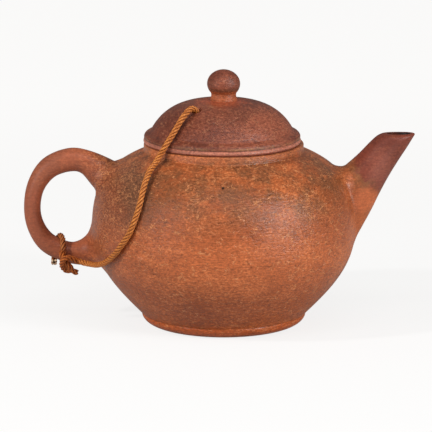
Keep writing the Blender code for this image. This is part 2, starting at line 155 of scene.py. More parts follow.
def oval(turns: np.ndarray, first: Sequence, second: Sequence, middle: object = 0.0) -> np.ndarray:
    """The points of an oval at the angles given, from its two half axes and its middle."""
    return middle + np.outer(np.cos(turns), first) + np.outer(np.sin(turns), second)


def square_to(out: np.ndarray) -> tuple[np.ndarray, np.ndarray]:
    """Two directions at right angles to a direction and to each other."""
    side = np.cross(out, (0.0, 1.0, 0.0))
    side /= np.linalg.norm(side)
    return side, np.cross(out, side)


def offset(outline: np.ndarray, distance: float) -> np.ndarray:
    """Moves an open outline sideways, to the left of its direction for a positive distance.

    Args:
        outline: rows of (radius, height).
        distance: how far.

    Returns:
        The moved rows.
    """
    along = unit_rows(np.gradient(outline, axis=0))
    return outline + distance * np.column_stack([-along[:, 1], along[:, 0]])


def smooth(points: Sequence, count: int) -> np.ndarray:
    """Reads a Catmull-Rom curve through rows of numbers at evenly spread places.

    Args:
        points: the rows that it passes through.
        count: how many rows to read, both ends included.

    Returns:
        The rows that were read.
    """
    points = np.asarray(points, float)
    ends = np.vstack([2 * points[0] - points[1], points, 2 * points[-1] - points[-2]])
    place = np.linspace(0.0, len(points) - 1, count)
    k = np.minimum(place.astype(int), len(points) - 2)
    t = (place - k)[:, None]
    a, b, c, d = ends[k], ends[k + 1], ends[k + 2], ends[k + 3]
    return b + 0.5 * ((c - a) * t + (2 * a - 5 * b + 4 * c - d) * t * t + (3 * (b - c) + d - a) * t**3)


def even_path(route: Sequence, step: float) -> tuple[np.ndarray, float]:
    """Reads a smooth curve through a route at even steps.

    Args:
        route: the points that it passes through.
        step: the distance between two points that are read.

    Returns:
        The points, and the length of the curve.
    """
    fine = smooth(route, 40 * len(route))
    run = run_along(fine)
    places = np.linspace(0.0, run[-1], max(3, round(run[-1] / step) + 1))
    return np.column_stack([np.interp(places, run, fine[:, k]) for k in range(3)]), float(run[-1])


def ease(value: np.ndarray) -> np.ndarray:
    """A smooth step from 0 to 1 between 0 and 1."""
    value = np.clip(value, 0.0, 1.0)
    return value * value * (3.0 - 2.0 * value)


# Meshes


def link_mesh(name: str, mesh: Mesh) -> Object:
    """Links a new object that carries the mesh."""
    made = bpy.data.objects.new(name, mesh)
    bpy.context.scene.collection.objects.link(made)
    return made


def mesh_object(name: str, points: Sequence, faces: Sequence = (), edges: Sequence = ()) -> Object:
    """Makes a linked mesh object from its points, and its faces or edges."""
    mesh = bpy.data.meshes.new(name)
    mesh.from_pydata([tuple(p) for p in points], list(edges), list(faces))
    return link_mesh(name, mesh)


def mesh_points(mesh: Mesh) -> np.ndarray:
    """The mesh's points, one row each."""
    flat = np.empty(3 * len(mesh.vertices))
    mesh.vertices.foreach_get("co", flat)
    return flat.reshape(-1, 3)


def set_points(mesh: Mesh, points: np.ndarray) -> None:
    """Moves the mesh's points to the rows given."""
    mesh.vertices.foreach_set("co", np.ascontiguousarray(points, float).ravel())
    mesh.update()


def settle(source: Object, name: str) -> Object:
    """Turns what an object's modifiers show into a plain mesh object, and removes the object.

    Args:
        source: an object with live modifiers.
        name: the name of the result.

    Returns:
        The new object, without modifiers.
    """
    bpy.context.view_layer.update()
    graph = bpy.context.evaluated_depsgraph_get()
    mesh = bpy.data.meshes.new_from_object(source.evaluated_get(graph), depsgraph=graph)
    mesh.name = name
    source.modifiers.clear()
    bpy.data.objects.remove(source, do_unlink=True)
    return link_mesh(name, mesh)


def joined(name: str, parts: Sequence[Object]) -> Object:
    """Joins mesh objects into one, in a new object, and removes them."""
    shape = bmesh.new()
    for part in parts:
        shape.from_mesh(part.data)
        bpy.data.objects.remove(part, do_unlink=True)
    mesh = bpy.data.meshes.new(name)
    shape.to_mesh(mesh)
    shape.free()
    return link_mesh(name, mesh)


def facing_out(thing: Object) -> Object:
    """Merges doubled points and turns a closed mesh's faces outwards."""
    shape = bmesh.new()
    shape.from_mesh(thing.data)
    bmesh.ops.remove_doubles(shape, verts=shape.verts, dist=MERGE_DISTANCE)
    bmesh.ops.dissolve_degenerate(shape, edges=shape.edges, dist=MERGE_DISTANCE)
    if shape.calc_volume(signed=True) < 0.0:
        bmesh.ops.reverse_faces(shape, faces=shape.faces)
    shape.to_mesh(thing.data)
    shape.free()
    return thing


def dress(thing: Object, finish: Material) -> None:
    """Gives the whole mesh one finish and smooth shading."""
    thing.data.materials.clear()
    thing.data.materials.append(finish)
    for polygon in thing.data.polygons:
        polygon.material_index = 0
        polygon.use_smooth = True


def path_object(name: str, points: Sequence) -> Object:
    """Makes a linked object of a row of points and the edges between them."""
    return mesh_object(name, points, edges=[(k, k + 1) for k in range(len(points) - 1)])


def quad_rows(rows: Sequence[np.ndarray]) -> tuple[np.ndarray, list]:
    """Skins closed rows of points, each with as many points as the first.

    Args:
        rows: the rows, in order.

    Returns:
        All points, and the faces between neighbouring rows.
    """
    count = len(rows[0])
    faces = []
    for low in range(0, count * (len(rows) - 1), count):
        high = low + count
        for k in range(count):
            after = (k + 1) % count
            faces.append((low + k, low + after, high + after, high + k))
    return np.vstack(rows), faces


def capped_rows(rows: Sequence[np.ndarray]) -> tuple[np.ndarray, list]:
    """Skins closed rows and closes both ends with one face each."""
    points, faces = quad_rows(rows)
    count = len(rows[0])
    faces.append(tuple(reversed(range(count))))
    faces.append(tuple(range(len(points) - count, len(points))))
    return points, faces


def cut_away(thing: Object, cutter: Object) -> Object:
    """Takes the cutter's solid out of the object, and removes the cutter."""
    modifier = thing.modifiers.new("cut", "BOOLEAN")
    modifier.operation = "DIFFERENCE"
    modifier.solver = "MANIFOLD"
    modifier.object = cutter
    cut = settle(thing, thing.name)
    bpy.data.objects.remove(cutter, do_unlink=True)
    return cut


# Node trees


class Tree:
    """Adds nodes to a tree, with their values and links."""

    def __init__(self, owner: NodeTree) -> None:
        self.nodes = owner.nodes
        self.links = owner.links

    def add(self, kind: str, inputs: dict | None = None, **settings: object) -> Node:
        """Adds one node.

        Args:
            kind: the node's type.
            inputs: a value or a socket to link for an input's name or number.
            settings: the node's own settings.

        Returns:
            The node.
        """
        node = self.nodes.new(kind)
        for name, value in settings.items():
            setattr(node, name, value)
        self.feed(node, inputs or {})
        return node

    def feed(self, node: Node, inputs: dict) -> None:
        """Sets a node's inputs to values, or links sockets to them, by name or number."""
        for key, value in inputs.items():
            if isinstance(value, NodeSocket):
                self.links.new(value, node.inputs[key])
            else:
                node.inputs[key].default_value = value

    def math(self, operation: str, *values: object, clamp: bool = False) -> NodeSocket:
        """The result of a Math node."""
        inputs = dict(enumerate(values))
        return self.add("ShaderNodeMath", inputs, operation=operation, use_clamp=clamp).outputs[0]

    def plus(self, first: object, second: object) -> NodeSocket:
        """The sum of two values."""
        return self.math("ADD", first, second)

    def minus(self, first: object, second: object) -> NodeSocket:
        """The first value less the second."""
        return self.math("SUBTRACT", first, second)

    def times(self, first: object, second: object, clamp: bool = False) -> NodeSocket:
        """The product of two values, kept between 0 and 1 on demand."""
        return self.math("MULTIPLY", first, second, clamp=clamp)

    def times_plus(self, first: object, second: object, third: object) -> NodeSocket:
        """The product of two values, and a third one added to it."""
        return self.math("MULTIPLY_ADD", first, second, third)

    def vector(self, operation: str, *values: object) -> NodeSocket:
        """The vector that a Vector Math node gives."""
        return self.add("ShaderNodeVectorMath", dict(enumerate(values)), operation=operation).outputs[0]

    def scaled(self, vector: object, scale: object) -> NodeSocket:
        """A vector times a value."""
        return self.add("ShaderNodeVectorMath", {0: vector, "Scale": scale}, operation="SCALE").outputs[0]

    def length(self, vector: object) -> NodeSocket:
        """The length of a vector."""
        return self.add("ShaderNodeVectorMath", {0: vector}, operation="LENGTH").outputs["Value"]

    def mapped(self, where: object, scale: Point, rotation: Point = (0.0, 0.0, 0.0)) -> NodeSocket:
        """A place on a pattern that is scaled and turned."""
        inputs = {"Vector": where, "Scale": scale, "Rotation": rotation}
        return self.add("ShaderNodeMapping", inputs).outputs[0]

    def noise(
        self, where: object, scale: float, detail: float = 3.0, roughness: float = 0.5
    ) -> NodeSocket:
        """Noise from 0 to 1, with so many features a metre."""
        inputs = {"Vector": where, "Scale": scale, "Detail": detail, "Roughness": roughness}
        return self.add("ShaderNodeTexNoise", inputs).outputs[0]

    def between(self, value: object, low: float, high: float) -> NodeSocket:
        """A smooth step from 0 at the low value to 1 at the high one."""
        inputs = {"Value": value, "From Min": low, "From Max": high}
        return self.add("ShaderNodeMapRange", inputs, interpolation_type="SMOOTHSTEP").outputs[0]

    def mix(self, share: object, first: object, second: object) -> NodeSocket:
        """A mix of two colours."""
        return self.add("ShaderNodeMix", {0: share, 6: first, 7: second}, data_type="RGBA").outputs[2]

    def here(self) -> NodeSocket:
        """The place that is shaded, on Object coordinates."""
        return self.add("ShaderNodeTexCoord").outputs["Object"]

    def read(self, attribute: str) -> NodeSocket:
        """The value that the mesh keeps under a name."""
        return self.add("ShaderNodeAttribute", attribute_name=attribute).outputs["Fac"]

    def keep(self, geometry: NodeSocket, attribute: str, value: object) -> NodeSocket:
        """The geometry, with a value kept on its points under a name."""
        inputs = {"Geometry": geometry, "Name": attribute, "Value": value}
        kind = "GeometryNodeStoreNamedAttribute"
        return self.add(kind, inputs, data_type="FLOAT", domain="POINT").outputs[0]


def new_material(name: str) -> tuple[Material, Tree, Node]:
    """Starts a material, and hands out its tree's helper and its shader too."""
    material = bpy.data.materials.new(name)
    material.use_nodes = True
    return material, Tree(material.node_tree), material.node_tree.nodes["Principled BSDF"]


def new_group(name: str, inputs: dict[str, str]) -> tuple[NodeTree, Tree, dict, Callable]:
    """Starts a Geometry Nodes tree.

    Args:
        name: the tree's name.
        inputs: the socket type of each named input.

    Returns:
        The tree, its helper, the sockets of the inputs, and a function that ends it with a result.
    """
    group = bpy.data.node_groups.new(name, "GeometryNodeTree")
    for socket_name, kind in inputs.items():
        group.interface.new_socket(socket_name, in_out="INPUT", socket_type="NodeSocket" + kind)
    group.interface.new_socket("Result", in_out="OUTPUT", socket_type="NodeSocketGeometry")
    tree = Tree(group)
    given = tree.add("NodeGroupInput")
    sockets = {name: given.outputs[name] for name in inputs}

    def end(result: NodeSocket) -> None:
        """Realizes the instances, gives the finish and hands out the result."""
        real = tree.add("GeometryNodeRealizeInstances", {"Geometry": result}).outputs[0]
        dressed = tree.add("GeometryNodeSetMaterial", {"Geometry": real, "Material": sockets["Finish"]})
        tree.add("NodeGroupOutput", {0: dressed.outputs[0]})

    return group, tree, sockets, end


def grow(name: str, group: NodeTree, source: Object, values: dict) -> Object:
    """Runs a Geometry Nodes tree on an object.

    Args:
        name: the name of the result.
        group: the tree.
        source: the object that the tree starts from, which is used up.
        values: the value of each named input.

    Returns:
        A new plain mesh object.
    """
    modifier = source.modifiers.new(group.name, "NODES")
    modifier.node_group = group
    for item in group.interface.items_tree:
        if item.in_out == "INPUT" and item.name in values:
            modifier[item.identifier] = values[item.name]
    return settle(source, name)


def make_turning_tree() -> NodeTree:
    """Builds the tree that turns a profile round the Z axis, as on a potter's wheel.

    Returns:
        The tree. Its profile is a row of points in the XZ plane, which it reads one by one.
    """
    kinds = {"Profile": "Geometry", "Sides": "Int", "Finish": "Material"}
    group, tree, given, end = new_group("turned_on_the_wheel", kinds)
    size = tree.add("GeometryNodeAttributeDomainSize", {"Geometry": given["Profile"]}, component="MESH")
    rows = size.outputs["Point Count"]
    sides = tree.plus(given["Sides"], 1.0)
    inputs = {"Size X": 1.0, "Size Y": 1.0, "Vertices X": rows, "Vertices Y": sides}
    grid = tree.add("GeometryNodeMeshGrid", inputs).outputs[0]
    here = tree.add("GeometryNodeInputPosition").outputs[0]
    split = tree.add("ShaderNodeSeparateXYZ", {0: here})
    # The grid is one metre wide about the middle, so half a metre more counts from its edge
    row = tree.math("ROUND", tree.times(tree.plus(split.outputs[0], 0.5), tree.minus(rows, 1.0)))
    inputs = {"Geometry": given["Profile"], "Value": here, "Index": row}
    on_profile = tree.add("GeometryNodeSampleIndex", inputs, data_type="FLOAT_VECTOR").outputs[0]
    inputs = {"Vector": on_profile, "Angle": tree.times(tree.plus(split.outputs[1], 0.5), math.tau)}
    around = tree.add("ShaderNodeVectorRotate", inputs, rotation_type="Z_AXIS").outputs[0]
    placed = tree.add("GeometryNodeSetPosition", {"Geometry": grid, "Position": around}).outputs[0]
    inputs = {"Geometry": placed, "Distance": MERGE_DISTANCE}
    merged = tree.add("GeometryNodeMergeByDistance", inputs).outputs[0]
    end(tree.add("GeometryNodeSetShadeSmooth", {"Geometry": merged}).outputs[0])
    return group


def make_rope_tree() -> NodeTree:
    """Builds the tree that lays strands round a path as a rope.

    Returns:
        The tree. For the fibres it keeps each point's strand number, way along and round its strand, and
        distance from the rope's middle.
    """
    kinds = {"Path": "Geometry", "Strands": "Int", "Strand Radius": "Float", "Lay Radius": "Float"}
    kinds |= {"Pitch": "Float", "Fray": "Float", "Sides": "Int", "Finish": "Material"}
    group, tree, given, end = new_group("laid_rope", kinds)
    path = tree.add("GeometryNodeMeshToCurve", {"Mesh": given["Path"]}).outputs[0]
    inputs = {"Geometry": path, "Amount": given["Strands"]}
    copies = tree.add("GeometryNodeDuplicateElements", inputs, domain="SPLINE")
    along = tree.add("GeometryNodeSplineParameter").outputs["Length"]
    number = copies.outputs["Duplicate Index"]
    shift = tree.math("DIVIDE", number, given["Strands"])
    angle = tree.times(tree.plus(tree.math("DIVIDE", along, given["Pitch"]), shift), math.tau)
    normal = tree.add("GeometryNodeInputNormal").outputs[0]
    tangent = tree.add("GeometryNodeInputTangent").outputs[0]
    across = tree.vector("CROSS_PRODUCT", tangent, normal)
    first = tree.scaled(normal, tree.math("COSINE", angle))
    out = tree.vector("ADD", first, tree.scaled(across, tree.math("SINE", angle)))
    whole = tree.add("GeometryNodeSplineLength").outputs["Length"]
    left = tree.minus(whole, along)
    spread = tree.times_plus(tree.between(left, FRAYED_LENGTH, 0.0), given["Fray"], 1.0)
    moved = tree.scaled(out, tree.times(spread, given["Lay Radius"]))
    stored = tree.keep(copies.outputs[0], "strand_number", number)
    stored = tree.keep(stored, "strand_run", along)
    stored = tree.keep(stored, "strand_left", left)
    laid = tree.add("GeometryNodeSetPosition", {"Geometry": stored, "Offset": moved}).outputs[0]
    inputs = {"Resolution": given["Sides"], "Radius": given["Strand Radius"]}
    ring = tree.add("GeometryNodeCurvePrimitiveCircle", inputs).outputs[0]
    ring = tree.keep(ring, "strand_turn", tree.add("GeometryNodeSplineParameter").outputs["Factor"])
    inputs = {"Curve": laid, "Profile Curve": ring, "Fill Caps": True}
    solid = tree.add("GeometryNodeCurveToMesh", inputs).outputs[0]
    from_path = tree.add("GeometryNodeProximity", {"Geometry": given["Path"]}, target_element="EDGES")
    stored = tree.keep(solid, "strand_out", from_path.outputs["Distance"])
    end(tree.add("GeometryNodeSetShadeSmooth", {"Geometry": stored}).outputs[0])
    return group


def make_piercing_tree() -> NodeTree:
    """Builds the tree that sets one rod in the middle and a ring of rods round it, to pierce a wall.

    Returns:
        The tree. The rods stand along X, and a single point is where their middle goes.
    """
    kinds = {"Middle": "Geometry", "Holes": "Int", "Ring Radius": "Float", "Hole Radius": "Float"}
    kinds |= {"Length": "Float", "Finish": "Material"}
    group, tree, given, end = new_group("pierced_holes", kinds)
    ring = tree.add("GeometryNodeMeshCircle", {"Vertices": given["Holes"], "Radius": given["Ring Radius"]})
    spots = tree.add("GeometryNodeJoinGeometry")
    tree.links.new(ring.outputs[0], spots.inputs[0])
    tree.links.new(tree.add("GeometryNodeMeshLine", {"Count": 1}).outputs[0], spots.inputs[0])
    inputs = {"Vertices": ROD_SIDES, "Radius": given["Hole Radius"], "Depth": given["Length"]}
    rod = tree.add("GeometryNodeMeshCylinder", inputs).outputs[0]
    inputs = {"Points": spots.outputs[0], "Instance": rod}
    rods = tree.add("GeometryNodeInstanceOnPoints", inputs).outputs[0]
    real = tree.add("GeometryNodeRealizeInstances", {"Geometry": rods}).outputs[0]
    inputs = {"Geometry": real, "Rotation": (0.0, math.pi / 2, 0.0)}
    inputs = {"Points": given["Middle"], "Instance": tree.add("GeometryNodeTransform", inputs).outputs[0]}
    end(tree.add("GeometryNodeInstanceOnPoints", inputs).outputs[0])
    return group


@dataclass
class Workshop:
    """What every piece is made with: the trees, and where the pot's axis stands in the frame."""

    axis_x: float
    turning: NodeTree = field(default_factory=make_turning_tree)
    rope: NodeTree = field(default_factory=make_rope_tree)
    piercing: NodeTree = field(default_factory=make_piercing_tree)
    # How far hand work strays from true round, over what distance, up to what height that grows, and the
    # seed that makes it the same each time
    stray: float = 0.00016
    stray_span: float = 0.030
    stray_from: float = 0.0050
    stray_seed: int = 7

    def turn(self, name: str, outline: Sequence, finish: Material, sides: int = 160) -> Object:
        """Turns an outline of (radius, height) rows round the Z axis into a closed mesh."""
        profile = path_object(name + "_profile", [(r, 0.0, z) for r, z in outline])
        return facing_out(grow(name, self.turning, profile, {"Sides": sides, "Finish": finish}))

    def finish(
        self, thing: Object, body: Body, slot: Slot, nodes: Sequence[str], off_axis: float = 0.0
    ) -> None:
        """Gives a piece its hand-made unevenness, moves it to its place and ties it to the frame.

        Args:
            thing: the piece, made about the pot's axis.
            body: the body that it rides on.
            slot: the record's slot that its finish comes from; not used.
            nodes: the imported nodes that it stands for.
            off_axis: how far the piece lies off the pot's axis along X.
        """
        points = mesh_points(thing.data) + (off_axis, 0.0, 0.0)
        noise.seed_set(self.stray_seed)
        strays = [noise.noise_vector(Vector(p / self.stray_span)) for p in points]
        points += self.stray * np.array(strays) * ease(points[:, 2:] / self.stray_from)
        set_points(thing.data, points + (self.axis_x, 0.0, 0.0))
        thing.data.set_sharp_from_angle(angle=SHARP_EDGE)
        self.tie(thing, body, slot, nodes)

    def tie(self, thing: Object, body: Body, slot: Slot, nodes: Sequence[str]) -> None:
        """Ties a finished piece to its body, and hides the nodes that it stands for."""
        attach(thing, body.value)
        if nodes:
            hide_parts(*nodes)
        LOG.info("%s: %d points, %d faces", thing.name, len(thing.data.vertices), len(thing.data.polygons))


# Finishes


def seen(red: int, green: int, blue: int) -> Colour:
    """A colour as the eye sees it, from 0 to 255, as the shader's light values."""
    values = [c / 255 for c in (red, green, blue)]
    return (*(c / 12.92 if c <= 0.04045 else ((c + 0.055) / 1.055) ** 2.4 for c in values), 1.0)


@dataclass(frozen=True)
class Patch:
    """A rounded patch of another colour, by its middle and its reach along X, Y and Z."""

    colour: Colour
    middle: Point
    reach: Point
    strength: float = 0.8
    edge: float = 0.35
    ragged: float = 0.5


@dataclass(frozen=True)
class Band:
    """A colour that comes in between two heights: none at the start, its whole share at the full one."""

    colour: Colour
    start: float
    full: float
    share: float
    wander: float = 0.03
    cloudy: bool = True


@dataclass(frozen=True)
class Pattern:
    """A noise, by its features a metre along X, Y and Z, its detail and its roughness."""

    scale: Point
    detail: float
    roughness: float
    rotation: Point = (0.0, 0.0, 0.0)

    def lay(self, tree: Tree, here: NodeSocket) -> NodeSocket:
        """The noise, from 0 to 1."""
        return tree.noise(tree.mapped(here, self.scale, self.rotation), 1.0, self.detail, self.roughness)


@dataclass(frozen=True)
class ClayFinish:
    """Unglazed clay, burnished and worn: two tones in clouds, bands, patches, grain, brushing, scratches.
    Some of the bands and patches are painted shade and painted highlights.

    Levels are the two values of a noise between which something comes in.
    """

    name: str
    light: Colour
    dark: Colour
    fleck: Colour
    soot: Colour
    roughness: float
    bands: tuple[Band, ...] = ()
    patches: tuple[Patch, ...] = ()
    grain_share: float = 1.0
    fleck_share: float = 0.35
    scratch_share: float = 0.6
    soot_share: float = 0.6
    # Past this distance along X from the middle, over this run, the clay is rubbed smooth
    smooth_from: float = 1.0
    smooth_run: float = 0.012
    clouds: Pattern = Pattern((34.0, 34.0, 62.0), 6.0, 0.62)
    brush: Pattern = Pattern((110.0, 110.0, 1700.0), 3.0, 0.6)
    grain: Pattern = Pattern((850.0, 850.0, 1500.0), 3.0, 0.85)
    tone_levels: Levels = (0.40, 0.62)
    band_levels: Levels = (0.36, 0.60)
    fleck_levels: Levels = (0.53, 0.61)
    worn_levels: Levels = (0.42, 0.56)
    line_levels: Levels = (0.017, 0.006)
    broken_levels: Levels = (0.50, 0.57)
    # How much the grain and the brush lines change the tone, the gloss and the relief
    grain_tone: float = 2.6
    brush_tone: float = 0.55
    grain_rough: float = 0.24
    brush_rough: float = 0.22
    grain_relief: float = 0.8
    brush_relief: float = 0.9
    line_relief: float = 0.25
    relief: float = 0.00028
    # What is left of them where the clay is rubbed smooth, and how much glossier the rest is
    rubbed_share: float = 0.15
    rubbed_tone: float = 0.4
    unrubbed_gloss: float = 0.18

    def make(self) -> Material:
        """Builds the material."""
        material, tree, shader = new_material(self.name)
        here = tree.here()
        clouds, brush, grain = (each.lay(tree, here) for each in (self.clouds, self.brush, self.grain))
        colour = tree.mix(tree.between(clouds, *self.tone_levels), self.dark, self.light)
        colour = self.banded(tree, here, clouds, colour)
        colour = self.patched(tree, here, colour)
        side = tree.math("ABSOLUTE", tree.add("ShaderNodeSeparateXYZ", {0: here}).outputs[0])
        raw = tree.between(side, self.smooth_from + self.smooth_run, self.smooth_from)
        raw = tree.times_plus(raw, 1.0 - self.rubbed_share, self.rubbed_share)
        specks = tree.times_plus(raw, 1.0 - self.rubbed_tone, self.rubbed_tone)
        specks = tree.times(tree.minus(grain, 0.5), specks)
        value = tree.times_plus(specks, self.grain_tone * self.grain_share, 1.0)
        value = tree.times_plus(tree.minus(brush, 0.5), self.brush_tone * self.grain_share, value)
        colour = tree.add("ShaderNodeHueSaturation", {"Value": value, "Color": colour}).outputs[0]
        worn = tree.between(clouds, *self.worn_levels)
        fleck = tree.times(tree.times(tree.between(grain, *self.fleck_levels), worn), raw)
        colour = tree.mix(tree.times(fleck, self.fleck_share), colour, self.fleck)
        light_lines = tree.times(raw, self.strokes(tree, here, 1.0, 0.5))
        dark_lines = tree.times(raw, self.strokes(tree, here, -1.0, 0.53))
        colour = tree.mix(tree.times(light_lines, self.scratch_share), colour, self.fleck)
        colour = tree.mix(tree.times(dark_lines, self.soot_share * self.scratch_share), colour, self.soot)
        rough = tree.times_plus(brush, self.brush_rough, self.roughness)
        rough = tree.times_plus(grain, self.grain_rough, rough)
        relief = tree.plus(tree.times(grain, self.grain_relief), tree.times(brush, self.brush_relief))
        relief = tree.times(tree.minus(relief, tree.times(light_lines, self.line_relief)), raw)
        inputs = {"Height": relief, "Distance": self.relief, "Strength": 0.8}
        shading = {
            "Base Color": colour,
            "Roughness": tree.times_plus(raw, -self.unrubbed_gloss, rough),
            "Normal": tree.add("ShaderNodeBump", inputs).outputs[0],
            "Specular IOR Level": 0.5,
            "Sheen Weight": 0.02,
            "Sheen Roughness": 0.4,
            "Sheen Tint": seen(210, 205, 200),
        }
        tree.feed(shader, shading)
        return material

    def banded(self, tree: Tree, here: NodeSocket, clouds: NodeSocket, colour: NodeSocket) -> NodeSocket:
        """The colour with the bands on it, whose edges wander with the clouds.

        Args:
            tree: the material's tree.
            here: the place that is shaded.
            clouds: the clouds there.
            colour: the colour so far.

        Returns:
            The colour.
        """
        for band in self.bands:
            height = tree.add("ShaderNodeSeparateXYZ", {0: here}).outputs[2]
            tide = tree.plus(height, tree.times(tree.minus(clouds, 0.5), band.wander))
            share = tree.times(tree.between(tide, band.start, band.full), band.share)
            if band.cloudy:
                cover = tree.between(tree.noise(here, 85.0, 5.0, 0.7), *self.band_levels)
                share = tree.times(share, cover, clamp=True)
            colour = tree.mix(share, colour, band.colour)
        return colour

    def patched(self, tree: Tree, here: NodeSocket, colour: NodeSocket) -> NodeSocket:
        """The colour with the patches on it, which a noise makes ragged.

        Args:
            tree: the material's tree.
            here: the place that is shaded.
            colour: the colour so far.

        Returns:
            The colour.
        """
        wander = tree.noise(here, 230.0, 4.0, 0.65)
        for patch in self.patches:
            away = tree.vector("DIVIDE", tree.vector("SUBTRACT", here, patch.middle), patch.reach)
            rag = tree.times(tree.minus(wander, 0.5), 2.0 * patch.ragged)
            inside = tree.between(tree.plus(tree.length(away), rag), 1.0 + patch.edge, 1.0 - patch.edge)
            colour = tree.mix(tree.times(inside, patch.strength), colour, patch.colour)
        return colour

    def strokes(self, tree: Tree, here: NodeSocket, side: float, level: float) -> NodeSocket:
        """Short curved hair lines, as a mask: the level lines of a noise, broken up by another one.

        Args:
            tree: the material's tree.
            here: the place that is shaded.
            side: 1 or -1, for two sets that differ.
            level: the noise value whose level lines show.

        Returns:
            The mask.
        """
        lines = Pattern((150.0, 150.0, 330.0), 3.0, 0.55, (0.3 * side, 0.5, side)).lay(tree, here)
        thin = tree.between(tree.math("ABSOLUTE", tree.minus(lines, level)), *self.line_levels)
        breaks = tree.noise(tree.vector("ADD", here, (side, 0.0, 0.0)), 330.0, 2.0, 0.6)
        return tree.times(thin, tree.between(breaks, *self.broken_levels), clamp=True)


@dataclass(frozen=True)
class FibreFinish:
    """A twisted plant fibre with fine yarns: a golden painted highlight on the crowns of the strands, and
    dark painted shade between them.

    The outs are distances from the rope's middle, and the cut is the tone of a cut end, if it has one.
    """

    name: str
    # The crown is the colour of the painted highlight, and the groove the colour of the painted shade
    crown: Colour
    light: Colour
    dark: Colour
    groove: Colour
    cut: Colour | None = None
    cut_run: float = 0.0003
    groove_out: float = 0.00078
    crown_out: float = 0.00117
    # How many turns the yarns make a metre, how long they are, and how far each strand's are shifted
    yarn_turns: float = 110.0
    yarn_run: float = 120.0
    yarn_shift: float = 7.3
    tone_levels: Levels = (0.30, 0.62)
    crown_levels: Levels = (0.42, 0.62)
    uneven_levels: Levels = (0.45, 0.7)
    uneven_share: float = 0.4
    groove_share: float = 0.92
    relief: float = 0.00012

    def make(self) -> Material:
        """Builds the material."""
        material, tree, shader = new_material(self.name)
        run, turn, number, out = (tree.read("strand_" + name) for name in ("run", "turn", "number", "out"))
        angle = tree.times(tree.plus(turn, tree.times(run, self.yarn_turns)), math.tau)
        along = tree.plus(tree.times(run, self.yarn_run), tree.times(number, self.yarn_shift))
        inputs = {0: tree.math("COSINE", angle), 1: tree.math("SINE", angle), 2: along}
        yarn = tree.noise(tree.add("ShaderNodeCombineXYZ", inputs).outputs[0], 3.2, 4.0, 0.7)
        uneven = tree.between(tree.noise(tree.here(), 260.0, 3.0, 0.6), *self.uneven_levels)
        colour = tree.mix(tree.between(yarn, *self.tone_levels), self.dark, self.light)
        colour = tree.mix(tree.times(uneven, self.uneven_share), colour, self.dark)
        # A painted highlight on the crowns, furthest from the rope's middle, and painted shade in the
        # grooves nearest to it
        high = tree.between(out, (self.groove_out + self.crown_out) / 2, self.crown_out)
        colour = tree.mix(tree.times(high, tree.between(yarn, *self.crown_levels)), colour, self.crown)
        low = tree.between(out, (self.groove_out + 2 * self.crown_out) / 3, self.groove_out)
        colour = tree.mix(tree.times(low, self.groove_share), colour, self.groove)
        if self.cut:
            colour = tree.mix(tree.between(tree.read("strand_left"), self.cut_run, 0.0), colour, self.cut)
        inputs = {"Height": yarn, "Distance": self.relief, "Strength": 0.7}
        shading = {
            "Base Color": colour,
            "Normal": tree.add("ShaderNodeBump", inputs).outputs[0],
            "Roughness": 0.55,
            "Specular IOR Level": 0.4,
            "Sheen Weight": 0.10,
            "Sheen Roughness": 0.5,
            "Sheen Tint": self.crown,
        }
        tree.feed(shader, shading)
        return material


# Distances, by which the clay of one member runs into the next


@dataclass
class SolidDistance:
    """The distance from the outside of a closed mesh, within a reach of it."""

    thing: Object
    reach: float
    ray: Point = (0.31, 0.83, 0.46)

    def __post_init__(self) -> None:
        """Builds the search tree and the box that is worth searching."""
        shape = bmesh.new()
        shape.from_mesh(self.thing.data)
        self.tree = BVHTree.FromBMesh(shape)
        shape.free()
        points = mesh_points(self.thing.data)
        self.low, self.high = points.min(0) - self.reach, points.max(0) + self.reach

    def __call__(self, points: np.ndarray) -> Distance:
        """The distance and its direction at each point; far ones count as far."""
        distance = np.full(len(points), FAR)
        direction = np.zeros_like(points)
        near = np.all((points > self.low) & (points < self.high), axis=1)
        for k in np.nonzero(near)[0]:
            spot, normal, _, away = self.tree.find_nearest(Vector(points[k]))
            out = np.array(points[k] - np.array(spot))
            sign = -1.0 if out @ np.array(normal) < 0.0 and self.inside(points[k]) else 1.0
            distance[k] = sign * away
            direction[k] = sign * out / away if away > MERGE_DISTANCE else normal
        return distance, direction

    def inside(self, point: np.ndarray) -> bool:
        """Whether the first face that is met from the point is met from behind."""
        _, normal, _, _ = self.tree.ray_cast(Vector(point), Vector(self.ray))
        return normal is not None and normal.dot(Vector(self.ray)) > 0.0


def run_together(first: Distance, second: Distance, fillet: float | np.ndarray) -> Distance:
    """Joins two solids with a rounded fillet where they meet.

    Args:
        first, second: the distances from the two solids, with their directions.
        fillet: how far from the joint the fillet begins.

    Returns:
        The distance from the joined solid.
    """
    (a, toward_a), (b, toward_b) = first, second
    share = np.clip(1.0 - np.abs(a - b) / fillet, 0.0, 1.0)
    distance = np.minimum(a, b) - share * share * fillet / 4
    weight = np.where(a < b, 1.0 - share / 2, share / 2)[:, None]
    return distance, weight * toward_a + (1.0 - weight) * toward_b


# The pot


